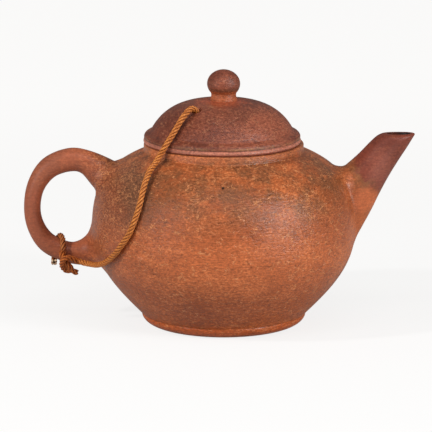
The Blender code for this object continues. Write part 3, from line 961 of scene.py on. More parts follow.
@dataclass
class RoundBody:
    """The turned body of the pot: its outline, its wall and the hollow inside."""

    belly_radius: float = 0.0528
    belly_z: float = 0.0386
    neck_radius: float = 0.0349
    neck_z: float = 0.0685
    hip_radius: float = 0.0330
    foot_z: float = 0.0045
    wall: float = 0.0032
    mouth_radius: float = 0.0265
    floor_thickness: float = 0.0030
    corner: float = 0.0022
    # The control points of both halves of the outside, as shares of their width and height
    shoulder_shares: tuple = ((0.69, 0.19), (1.0, 0.42))
    hip_shares: tuple = ((0.53, 0.31), (1.0, 0.59))
    # How far past its ends the outside counts as clay
    overrun: float = 0.008
    # How far the inner corners at the floor and at the mouth are drawn in
    floor_pull: tuple[float, float] = (0.0008, 0.0010)
    mouth_pull: float = 0.0006

    def shoulder(self, count: int) -> np.ndarray:
        """The outside from the neck down to the widest ring."""
        wide, high = self.belly_radius - self.neck_radius, self.neck_z - self.belly_z
        controls = [(self.neck_radius + x * wide, self.neck_z - z * high) for x, z in self.shoulder_shares]
        start, end = (self.neck_radius, self.neck_z), (self.belly_radius, self.belly_z)
        return bezier(start, *controls, end, count)

    def hip(self, count: int) -> np.ndarray:
        """The outside from the widest ring down to the foot."""
        wide, high = self.belly_radius - self.hip_radius, self.belly_z - self.foot_z
        first, second = [(self.hip_radius + x * wide, self.foot_z + z * high) for x, z in self.hip_shares]
        start, end = (self.belly_radius, self.belly_z), (self.hip_radius, self.foot_z)
        return bezier(start, second, first, end, count)

    def outline(self, overrun: float = 0.0, count: int = 110) -> np.ndarray:
        """The whole outside, top to bottom, carried on straight past both ends on demand."""
        line = np.vstack([self.shoulder(count), self.hip(count)[1:]])
        if not overrun:
            return line
        up, down = line[0] - line[1], line[-1] - line[-2]
        up, down = up / np.linalg.norm(up), down / np.linalg.norm(down)
        return np.vstack([line[0] + overrun * up, line, line[-1] + overrun * down])

    def hollow(self) -> np.ndarray:
        """The outline of the space inside, from the middle of the floor up to the mouth's rim."""
        floor_z = self.foot_z + self.floor_thickness
        inside = offset(self.outline(), -self.wall)[::-1]
        keep = (inside[:, 0] > self.mouth_radius + self.corner) & (inside[:, 1] > floor_z + self.corner)
        inside = inside[keep][::3]
        edge, mouth = inside[0][0] - self.corner, self.mouth_radius
        start, first = (edge - self.corner, floor_z), (edge, floor_z)
        low = bezier(start, first, inside[0] - self.floor_pull, inside[0], 8)
        top, top_z = inside[-1], inside[-1][1]
        pulled = top + (-self.corner / 2, self.mouth_pull)
        high = bezier(top, pulled, (mouth, top_z), (mouth, top_z + self.corner), 8)
        return np.vstack([[(0.0, floor_z)], low, inside[1:-1], high, [(mouth, self.neck_z)]])

    def __call__(self, points: np.ndarray) -> Distance:
        """The distance from the outside and its direction at each point."""
        line = self.outline(self.overrun)
        start, span = line[:-1], np.diff(line, axis=0)
        unit = unit_rows(span)
        left = np.column_stack([-unit[:, 1], unit[:, 0]])
        radius = np.hypot(points[:, 0], points[:, 1])
        flat = np.column_stack([radius, points[:, 2]])
        distance, normal = np.empty(len(points)), np.empty((len(points), 2))
        # In blocks, which keeps the tables of points against stretches small
        for block in np.array_split(np.arange(len(points)), max(1, len(points) // 4000)):
            off = flat[block][:, None] - start[None]
            share = np.clip((off * span).sum(2) / (span * span).sum(1), 0.0, 1.0)
            gap = np.linalg.norm(off - share[:, :, None] * span, axis=2)
            best = gap.argmin(1)
            rows = np.arange(len(block))
            distance[block] = (off[rows, best] * left[best]).sum(1)
            normal[block] = left[best]
        around = points[:, :2] / np.maximum(radius, MERGE_DISTANCE)[:, None]
        return distance, np.column_stack([around * normal[:, :1], normal[:, 1]])


@dataclass
class Handle:
    """The ear handle, an oval section swept along its middle line and flared at both roots.

    Each row of shares is one station: its place out from the belly and up from the lowest point of the
    line, then its thickness and its depth.
    """

    reach: float = 0.0800
    top_z: float = 0.0706
    bottom_z: float = 0.0237
    thickness: float = 0.0094
    depth: float = 0.0092
    fillet: float = 0.0018
    fillet_more: float = 0.0040
    fillet_side: tuple[float, float] = (0.0030, 0.0062)
    fillet_inner: tuple[float, float, float, float] = (0.0490, 0.0420, 0.0310, 0.0270)
    shares: tuple = (
        (-0.54, 0.66, 1.80, 1.60),
        (-0.20, 0.85, 1.42, 1.35),
        (0.09, 0.975, 1.03, 1.08),
        (0.37, 1.00, 1.00, 1.00),
        (0.71, 0.915, 0.915, 0.96),
        (0.93, 0.725, 0.77, 0.92),
        (1.00, 0.49, 0.71, 0.90),
        (0.935, 0.28, 0.755, 0.92),
        (0.73, 0.10, 0.86, 0.96),
        (0.36, 0.00, 0.925, 1.00),
        (0.01, 0.02, 1.32, 1.15),
        (-0.37, 0.09, 1.90, 1.40),
    )

    def stations(self, belly_radius: float, count: int) -> np.ndarray:
        """Rows of x, z, thickness and depth along the middle line."""
        rows = smooth(self.shares, count)
        slimmest = self.thickness * min(row[2] for row in self.shares)
        lowest = self.thickness * next(row[2] for row in self.shares if row[1] == 0.0)
        far = self.reach - slimmest / 2
        top, bottom = self.top_z - self.thickness / 2, self.bottom_z + lowest / 2
        x = -(belly_radius + rows[:, 0] * (far - belly_radius))
        z = bottom + rows[:, 1] * (top - bottom)
        return np.column_stack([x, z, rows[:, 2] * self.thickness, rows[:, 3] * self.depth])

    def fillets(self, points: np.ndarray) -> np.ndarray:
        """How softly the handle runs into the body: crisply above and below, softly elsewhere."""
        (near, far), (top, high, low, bottom) = self.fillet_side, self.fillet_inner
        sideways = ease((np.abs(points[:, 1]) - near) / (far - near))
        z = points[:, 2]
        inner = ease((top - z) / (top - high)) * ease((z - bottom) / (low - bottom))
        return self.fillet + self.fillet_more * np.maximum(sideways, inner)

    def solid(self, belly_radius: float) -> Object:
        """The closed solid of the handle, from inside one root to inside the other."""
        stations = self.stations(belly_radius, 200)
        along = unit_rows(np.gradient(stations[:, :2], axis=0))
        turns = one_turn(64)
        rows = []
        for (x, z, thick, deep), (tx, tz) in zip(stations, along):
            across = np.array([-tz, 0.0, tx]) * thick / 2
            rows.append(oval(turns, across, np.array([0.0, deep / 2, 0.0]), np.array([x, 0.0, z])))
        return facing_out(mesh_object("handle_solid", *capped_rows(rows)))


@dataclass
class Spout:
    """The straight spout, cut level at its lip.

    Each row of shares is one rib: where it meets the upper edge and the lower edge, along X and Z, and
    its width. A share of X below 0 is a share of the root's depth inside the belly.
    """

    reach: float = 0.0763
    lip_z: float = 0.0767
    root_width: float = 0.0185
    root_depth: float = 0.0235
    wall: float = 0.0022
    side_wall: float = 0.0027
    fillet: float = 0.0014
    fillet_more: float = 0.0036
    fillet_rise: tuple[float, float] = (0.0530, 0.0590)
    lip_round: float = 0.0026
    tip_round: float = 0.0007
    bore_round: float = 0.0005
    # How deep its root sits in the body's wall
    seat: float = 0.0012
    # The stub in the pot's skin: how deep it starts, how far past the fillet it ends, and its inner end
    stub_sunk: float = 0.012
    stub_past: float = 0.006
    stub_depth: Point = (-0.016, 0.0, 0.006)
    # The bore's cut: how much wider it is than the bore, how deep it goes and how far past the fillet
    cut_wider: float = 0.0007
    cut_sunk: float = 0.0003
    cut_past: float = 0.012
    sides: int = 96
    shares: tuple = (
        (-0.84, -0.02, -0.20, -0.33, 1.00),
        (-0.65, 0.21, -0.01, -0.13, 1.00),
        (-0.40, 0.55, 0.25, 0.17, 0.97),
        (-0.20, 0.650, 0.41, 0.378, 0.90),
        (0.03, 0.776, 0.56, 0.555, 0.80),
        (0.23, 0.905, 0.715, 0.715, 0.71),
        (0.35, 0.973, 0.87, 0.865, 0.63),
        (0.44, 1.00, 1.00, 1.00, 0.58),
    )

    def ribs(
        self, body: RoundBody, sunk: float = 0.0, side_sunk: float = 0.0, count: int = 160
    ) -> np.ndarray:
        """The spout's outside, sunk by a distance up and down and by another at its sides.

        Args:
            body: the round body.
            sunk, side_sunk: the distances.
            count: how many ribs to read.

        Returns:
            Ribs from the root to the lip, each a ring of points.
        """
        turns = one_turn(self.sides)
        rows = []
        for upper_x, upper_z, lower_x, lower_z, width in smooth(self.shares, count):
            upper, lower = self.spot(body, upper_x, upper_z), self.spot(body, lower_x, lower_z)
            half = (lower - upper) / 2
            half *= 1.0 - sunk / np.linalg.norm(half)
            side = np.array([0.0, width * self.root_width / 2 - side_sunk, 0.0])
            rows.append(oval(turns, half, side, (upper + lower) / 2))
        return np.array(rows)

    def spot(self, body: RoundBody, x: float, z: float) -> np.ndarray:
        """The point in the middle plane that two shares stand for."""
        span = self.reach - body.belly_radius if x > 0 else self.root_depth
        return np.array([body.belly_radius + x * span, 0.0, body.belly_z + z * (self.lip_z - body.belly_z)])

    def between(
        self, ribs: np.ndarray, body: RoundBody, start: float, end: float | None, count: int
    ) -> np.ndarray:
        """The part of the ribs between two distances from the body, or up to the lip.

        Args:
            ribs: rings of points from the root to the lip.
            body: the round body.
            start: the distance from the body at which each line from the root begins.
            end: the distance at which it ends, or None for the lip.
            count: how many rows to read.

        Returns:
            Rows of points.
        """
        away = body(ribs.reshape(-1, 3))[0].reshape(ribs.shape[:2])
        rows = np.empty((count, ribs.shape[1], 3))
        for k in range(ribs.shape[1]):
            line = away[:, k]
            first = self.crossing(line, start)
            last = len(ribs) - 1 if end is None else self.crossing(line, end)
            places, numbers = np.linspace(first, last, count), np.arange(len(ribs))
            rows[:, k] = np.column_stack([np.interp(places, numbers, row) for row in ribs[:, k].T])
        return rows

    @staticmethod
    def crossing(line: np.ndarray, level: float) -> float:
        """Where the last rise of a row of distances past a level is, as a place in the row."""
        below = np.nonzero(line < level)[0]
        if not len(below):
            return 0.0
        k = int(below[-1])
        return k + (level - line[k]) / (line[k + 1] - line[k])

    def fillets(self, points: np.ndarray) -> np.ndarray:
        """How far from the root its fillet begins at each point: further over the upper edge."""
        low, high = self.fillet_rise
        return self.fillet + self.fillet_more * ease((points[:, 2] - low) / (high - low))

    def stub(self, body: RoundBody) -> Object:
        """The root of the spout as a closed solid, which the pot's skin runs into."""
        rows = self.between(self.ribs(body), body, -self.stub_sunk, self.fillet + self.stub_past, 60)
        deep = rows[0] + np.array(self.stub_depth)
        return facing_out(mesh_object("spout_stub", *capped_rows([deep, *rows])))

    def bore_cutter(self, body: RoundBody) -> Object:
        """The bore as a cutter a little wider than it is, down to the face of the pierced wall."""
        ribs = self.ribs(body, self.wall - self.cut_wider, self.side_wall - self.cut_wider)
        rows = list(self.between(ribs, body, -self.cut_sunk, self.fillet + self.cut_past, 40))
        middle = rows[0].mean(0)
        closing = []
        for share in (0.15, 0.4, 0.6, 0.8):
            ring = middle + share * (rows[0] - middle)
            for _ in range(3):
                distance, direction = body(ring)
                ring = ring - (distance + self.cut_sunk)[:, None] * direction
            closing.append(ring)
        return facing_out(mesh_object("bore_cutter", *capped_rows(closing + rows)))

    def build(self, shop: Workshop, body: RoundBody, finish: Material) -> Object:
        """Makes the spout with its bore and its rounded lip, its root sunk in the body's wall."""
        outside = self.between(self.ribs(body), body, -self.seat, None, 120)
        inside = self.between(self.ribs(body, self.wall, self.side_wall), body, -self.seat, None, 80)
        inward = unit_rows(inside[-1] - outside[-1])
        sideways = np.sin(one_turn(self.sides)) ** 2
        sizes = self.tip_round + (self.lip_round - self.tip_round) * sideways
        started = self.rounded(outside, inward, sizes)
        ended = self.rounded(inside, -inward, np.full(self.sides, self.bore_round))[::-1]
        rows = [*started, *ended]
        points, faces = quad_rows(rows)
        last = (len(rows) - 1) * self.sides
        for k in range(self.sides):
            faces.append((last + k, last + (k + 1) % self.sides, (k + 1) % self.sides, k))
        piece = facing_out(mesh_object("spout_skin", points, faces))
        dress(piece, finish)
        shop.finish(piece, Body.POT, Slot.DARK_CLAY, ["spout"])
        return piece

    @staticmethod
    def rounded(rows: np.ndarray, inward: np.ndarray, sizes: np.ndarray) -> list:
        """Rows up to the greatest size short of the lip, then a rounding over to the flat of the rim.

        Args:
            rows: rings of points up to the lip.
            inward: for each side, the way along the rim's flat.
            sizes: for each side, the size of the rounding.

        Returns:
            The rings.
        """
        corner = rows[-1]
        kept = rows[np.nonzero(rows[:, 0, 2] < corner[0, 2] - 1.3 * sizes.max())[0]]
        along = corner - kept[-1]
        low = corner - sizes[:, None] * along / np.linalg.norm(along, axis=1)[:, None]
        turn = [
            (1 - t) ** 2 * low + 2 * t * (1 - t) * corner + t * t * (corner + sizes[:, None] * inward)
            for t in (0.0, 0.2, 0.4, 0.6, 0.8, 1.0)
        ]
        return [*kept, *turn]


@dataclass
class PotSkin:
    """The skin of the pot: body and handle in one, with the spout's root, hollow and pierced."""

    body: RoundBody
    handle: Handle
    spout: Spout
    voxel: float = 0.0008
    overrun: float = 0.003
    tuck: float = 0.0003
    tuck_run: float = 0.005
    # How far off a member is measured, how often the skin is drawn to the shape, and the least slope
    reach: float = 0.010
    rounds: int = 4
    least_slope: float = 0.25
    # The seat of the mouth's ring: how far past the neck it is cut, and how much higher
    seat_past: float = 0.0022
    seat_up: float = 0.0001
    foot_seam: float = 0.0002
    sky_z: float = 0.090
    ground: tuple[float, float] = (0.06, -0.01)
    strainer_holes: int = 6
    strainer_ring: float = 0.0052
    strainer_radius: float = 0.0015
    strainer_z: float = 0.0480
    strainer_length: float = 0.02

    def build(self, shop: Workshop, finish: Material) -> Object:
        """Makes the skin."""
        skin = self.fused(shop, finish)
        for cutter in self.cutters(shop, finish):
            skin = cut_away(skin, cutter)
        dress(skin, finish)
        shop.finish(skin, Body.POT, Slot.CLAY, ["body_wall", "base_disc", "handle"])
        return skin

    def fused(self, shop: Workshop, finish: Material) -> Object:
        """The solid members under one closed skin, drawn to the shape that they run together in."""
        body = self.body
        outline = body.outline(self.overrun)
        lathe = shop.turn("body_solid", [(0.0, outline[0][1]), *outline, (0.0, outline[-1][1])], finish)
        handle_solid, stub = self.handle.solid(body.belly_radius), self.spout.stub(body)
        members = SolidDistance(handle_solid, self.reach), SolidDistance(stub, self.reach)
        skin = joined("pot_skin", [lathe, handle_solid, stub])
        remesh = skin.modifiers.new("one_skin", "REMESH")
        remesh.mode = "VOXEL"
        remesh.voxel_size = self.voxel
        remesh.use_smooth_shade = True
        skin = settle(skin, "pot_skin")
        points = mesh_points(skin.data)
        for _ in range(self.rounds):
            distance, direction = self.distance(points, *members)
            steepness = np.maximum((direction * direction).sum(1), self.least_slope)
            step = np.clip(distance / steepness, -self.voxel, self.voxel)
            points = points - step[:, None] * direction
        set_points(skin.data, points)
        return skin

    def cutters(self, shop: Workshop, finish: Material) -> Iterator[Object]:
        """What is cut out of the skin, one after the other: hollow, ground, spout's bore, strainer."""
        body, sky = self.body, self.sky_z
        seat_r, seat_z = body.neck_radius + self.seat_past, body.neck_z + self.seat_up
        above = [(body.mouth_radius, seat_z), (seat_r, seat_z), (seat_r, sky), (0.0, sky)]
        yield shop.turn("hollow", [*body.hollow()[:-1], *above], finish, 128)
        level, (wide, deep) = body.foot_z - self.foot_seam, self.ground
        yield shop.turn("ground", [(0.0, level), (wide, level), (wide, deep), (0.0, deep)], finish, 32)
        yield self.spout.bore_cutter(body)
        place = mesh_object("strainer", [(body.belly_radius - body.wall, 0.0, self.strainer_z)])
        values = {
            "Holes": self.strainer_holes,
            "Ring Radius": self.strainer_ring,
            "Hole Radius": self.strainer_radius,
            "Length": self.strainer_length,
            "Finish": finish,
        }
        yield facing_out(grow("strainer", shop.piercing, place, values))

    def distance(self, points: np.ndarray, handle: SolidDistance, stub: SolidDistance) -> Distance:
        """The distance from the skin: the members run together, the spout tucked in beyond its root."""
        from_body = self.body(points)
        from_spout, spout_way = stub(points)
        beyond = np.clip((from_body[0] - self.spout.fillet) / self.tuck_run, 0.0, 1.0)
        tucked = from_spout + self.tuck * beyond**2, spout_way
        rounded = run_together(from_body, handle(points), self.handle.fillets(points))
        return run_together(rounded, tucked, self.spout.fillets(points))


@dataclass
class MouthCollar:
    """The low ring round the mouth, which runs down into the shoulder in a soft hollow."""

    radius: float = 0.0319
    top_z: float = 0.0729
    rounding: float = 0.0006
    # Where the hollow starts under the top, how far down the shoulder it goes, and how deep it ends
    hollow_from: float = 0.0026
    skirt: float = 0.0024
    sunk: float = 0.0001
    # How far the hollow keeps straight at its top, and at its foot as a share of its width
    hollow_top: float = 0.0008
    hollow_foot: float = 0.85
    root_depth: float = 0.0016
    root_in: float = 0.002
    overlap: float = 0.00005

    def build(self, shop: Workshop, body: RoundBody, finish: Material) -> Object:
        """Makes the ring."""
        edge, mouth, high = self.radius - self.rounding, body.mouth_radius, self.top_z - self.rounding
        corner = (self.rounding, self.rounding)
        outer = arc((edge, high), corner, 90, 0, 8)
        inner = arc((mouth + self.rounding, high), corner, 180, 90, 8)
        shoulder = body.outline()
        at = int(np.searchsorted(run_along(shoulder), self.skirt))
        slope = shoulder[at] - shoulder[at + 1]
        slope /= np.linalg.norm(slope)
        foot = shoulder[at] + np.array([-0.3, -1.0]) * self.sunk
        start = np.array([self.radius, self.top_z - self.hollow_from])
        reach = self.hollow_foot * (foot[0] - start[0])
        hollow = bezier(start, start - (0.0, self.hollow_top), foot + reach * slope, foot, 22)
        low, inside = body.neck_z - self.root_depth, mouth - self.overlap
        outline = [(inside, low), *inner, *outer, *hollow, (foot[0] - self.root_in, low), (inside, low)]
        piece = shop.turn("mouth_ring", outline, finish)
        shop.finish(piece, Body.POT, Slot.CLAY, ["mouth_collar"])
        return piece


@dataclass
class FootRing:
    """The ring that the pot stands on."""

    step: float = 0.0001
    swell: float = 0.0003
    rounding: float = 0.0030
    tread_inset: float = 0.0055
    tread_width: float = 0.0035
    inner_round: float = 0.0010
    seam: float = 0.0001
    # The soft upper edge, and the part that reaches up inside it under the body
    edge: float = 0.0003
    lap: float = 0.0003
    lap_inset: float = 0.0008

    def build(self, shop: Workshop, body: RoundBody, finish: Material) -> Object:
        """Makes the ring."""
        seat = body.foot_z - self.seam
        foot, tread = body.hip_radius - self.step, body.hip_radius - self.tread_inset
        inner, lap = tread - self.tread_width, seat + self.lap
        top = arc((foot - self.edge, seat - self.edge), (self.edge, self.edge), 90, 20, 4)
        first, second = (foot + self.swell, seat / 2), (tread + self.rounding, 0.0)
        outside = bezier(top[-1], first, second, (tread, 0.0), 28)
        corner = (self.inner_round, self.inner_round)
        inside = arc((inner + self.inner_round, self.inner_round), corner, 270, 180, 8)
        outline = [(inner, lap), (foot - self.lap_inset, lap), *top, *outside[1:], *inside, (inner, lap)]
        piece = shop.turn("foot", outline, finish)
        shop.finish(piece, Body.POT, Slot.CLAY, ["foot_ring"])
        return piece


# The lid


@dataclass
class Lid:
    """The loose domed lid: bead, groove, dome, the flange that drops into the mouth, the cord's hole."""

    off_axis: float = -0.0006
    seat_z: float = 0.0732
    radius: float = 0.0314
    bead: float = 0.0042
    ring_height: float = 0.0019
    ring_round: Point = (0.0006, 0.0009)
    ring_notch: float = 0.0003
    ring_sunk: float = 0.0002
    groove_z: float = 0.0046
    groove_radius: float = 0.0286
    height: float = 0.0169
    flat_radius: float = 0.0086
    flat_rise: float = 0.0003
    wall: float = 0.0032
    flange_depth: float = 0.0068
    flange_radius: float = 0.0255
    flange_wall: float = 0.0026
    dome_shares: tuple = ((0.57, 0.07), (0.85, 0.53))
    # The flat's first ring, and the soft corners where the flange leaves the rim and the dome
    flat_ring: float = 0.004
    drop_round: float = 0.0008
    drop_hook: float = 0.0003
    neck_rise: float = 0.004
    neck_hook: float = 0.001
    hole_at: tuple[float, float] = (-0.0102, -0.0135)
    hole_radius: float = 0.0018
    hole_flare: float = 0.0007
    hole_past: float = 0.0030

    def dome(self, count: int) -> np.ndarray:
        """The outside from the flat top to the groove over the bead."""
        foot, top = self.seat_z + self.groove_z, self.seat_z + self.height
        wide, high = self.groove_radius - self.flat_radius, top - foot
        controls = [(self.flat_radius + x * wide, top - z * high) for x, z in self.dome_shares]
        return bezier((self.flat_radius, top), *controls, (self.groove_radius, foot), count)

    def normal(self, x: float, y: float) -> tuple[np.ndarray, np.ndarray]:
        """The point of the dome's outside over (x, y), and the way straight out of it there."""
        dome, radius = self.dome(400), math.hypot(x, y)
        at = int(np.argmin(np.abs(dome[:, 0] - radius)))
        run, drop = dome[at + 1] - dome[at - 1]
        out = np.array([-drop * x / radius, -drop * y / radius, run])
        return np.array([x, y, dome[at][1]]), out / np.linalg.norm(out)

    def hole_cutter(self) -> Object:
        """A rod that flares at both faces of the wall, for the cord's hole with softened edges."""
        mouth, out = self.normal(*self.hole_at)
        circle = oval(one_turn(40), *square_to(out))
        flare, deep, past = self.hole_flare, self.wall, self.hole_past
        # Rows of a height over the dome's face, and how many flares wider the hole is there
        rows = [(past, 2.6), (0.0006, 1.5), (0.0, 0.9), (-0.3 * flare, 0.55), (-0.7 * flare, 0.2)]
        rows += [(-1.3 * flare, 0.0), (-deep + 1.3 * flare, 0.0), (-deep + 0.7 * flare, 0.2)]
        rows += [(-deep, 0.9), (-deep - past, 2.6)]
        rings = [mouth + height * out + (self.hole_radius + more * flare) * circle for height, more in rows]
        return facing_out(mesh_object("hole_cutter", *capped_rows(rings)))

    def rim(self) -> list:
        """The outline of the bead and of the fine ring under it, from the groove down to the seat."""
        half, (round_x, round_z) = self.bead / 2, self.ring_round
        notch = self.radius - self.ring_notch / 2 - half
        swelling = arc((notch, self.seat_z + half), (half, half), 78, 12, 16)
        middle = (self.radius - round_x, self.seat_z - self.ring_sunk + self.ring_height / 2)
        ring = arc(middle, (round_x, round_z), 62, -90, 20)
        return [*swelling[4:], (self.radius - self.ring_notch, ring[0][1] + 0.0001), *ring]

    def underside(self, dome: np.ndarray) -> list:
        """The outline from the rim down round the flange and up under the dome, but for its middle."""
        seat, outer = self.seat_z, self.flange_radius
        inner, low, nose = outer - self.flange_wall, seat - self.flange_depth, self.flange_wall / 2
        hollow = offset(dome, -self.wall)
        hollow = hollow[(hollow[:, 0] < inner - self.drop_round) & (hollow[:, 1] > seat)][::-2]
        ends = (outer, seat - self.drop_hook), (outer, seat - self.drop_round)
        drop = bezier((outer + self.drop_round, seat), (outer, seat), *ends, 6)
        tip = arc((outer - nose, low + nose), (nose, nose), 0, -180, 14)
        root_z = hollow[0][1]
        starts = (inner, root_z - self.neck_rise), (inner, root_z - self.neck_hook)
        return [*drop, *tip, *bezier(*starts, hollow[0], hollow[1], 8), *hollow[2:]]

    def build(self, shop: Workshop, finish: Material) -> Object:
        """Makes the lid without its knob."""
        dome, rim, crown = self.dome(80), self.rim(), self.seat_z + self.height
        groove = bezier(dome[-5], dome[-1], dome[-1], rim[0], 12)[1:-1]
        top = [(0.0, crown + self.flat_rise), (self.flat_ring, crown + 0.8 * self.flat_rise)]
        outline = [*top, *dome[:-4], *groove, *rim, *self.underside(dome), (0.0, crown - self.wall)]
        lid = cut_away(shop.turn("lid_shell", outline, finish), self.hole_cutter())
        dress(lid, finish)
        shop.finish(lid, Body.LID, Slot.DARK_CLAY, ["lid_dome", "lid_flange"], self.off_axis)
        return lid


@dataclass
class Knob:
    """The ball knob on its short neck, with the small ring at its root."""

    radius: float = 0.00658
    half_height: float = 0.0057
    neck_radius: float = 0.0049
    neck_height: float = 0.0018
    ring_radius: float = 0.0051
    ring_height: float = 0.0008
    ring_flare: float = 0.0001
    skirt: float = 0.0003
    cut_angle: float = 38.0
    off_axis: float = 0.0005
    seam: float = 0.0003
    neck_shares: tuple[float, float] = (0.8, 0.2)
    edge: float = 0.0001
    sunk: tuple[float, float] = (0.0006, 0.0008)

    def build(self, shop: Workshop, lid: Lid, finish: Material) -> Object:
        """Makes the knob."""
        seat = lid.seat_z + lid.height + lid.flat_rise + self.seam
        ring_top = seat + self.ring_height
        middle = ring_top + self.neck_height + self.half_height * math.sin(math.radians(self.cut_angle))
        ball = arc((0.0, middle), (self.radius, self.half_height), 90, -self.cut_angle, 34)
        ball[0][0] = 0.0
        high, low = ((self.neck_radius, ring_top + share * self.neck_height) for share in self.neck_shares)
        neck = bezier(ball[-1], high, low, (self.ring_radius, ring_top), 12)
        flared = self.ring_radius + self.ring_flare
        end = (flared + self.skirt, seat - self.sunk[0])
        root = bezier(neck[-1], (flared, ring_top - self.edge), (flared, seat), end, 10)
        outline = [*ball, *neck[1:], *root[1:], (0.0, seat - self.sunk[1])]
        piece = shop.turn("knob", outline, finish, 96)
        shop.finish(piece, Body.LID, Slot.DARK_CLAY, ["lid_knob"], lid.off_axis + self.off_axis)
        return piece


# The cord


@dataclass
class Rope:
    """A rope of a few strands: its thickness and its lay."""

    diameter: float = 0.0023
    strands: int = 4
    pitch: float = 0.0076
    sides: int = 12
    step: float = 0.00035
    # How much thicker a strand is than what would just touch the next one
    swelling: float = 1.06

    def path(self, route: Sequence) -> np.ndarray:
        """The points of a route, a step apart."""
        return even_path(route, self.step)[0]

    def lay(
        self, shop: Workshop, name: str, path: np.ndarray, finish: Material, fray: float = 0.0
    ) -> Object:
        """Lays the strands along a path.

        Args:
            shop: the workshop.
            name: the piece's name.
            path: points a step apart.
            finish: the fibre.
            fray: how far its strands spread at its last end, as a share of their lay.

        Returns:
            The rope as a mesh, moved to its place in the frame.
        """
        packing = math.sin(math.pi / self.strands)
        strand = self.diameter / 2 / (1 + 1 / packing)
        source = path_object(name + "_path", path + (shop.axis_x, 0.0, 0.0))
        values = {
            "Strands": self.strands,
            "Strand Radius": strand * self.swelling,
            "Lay Radius": strand / packing,
            "Pitch": self.pitch,
            "Fray": fray,
            "Sides": self.sides,
            "Finish": finish,
        }
        return grow(name, shop.rope, source, values)


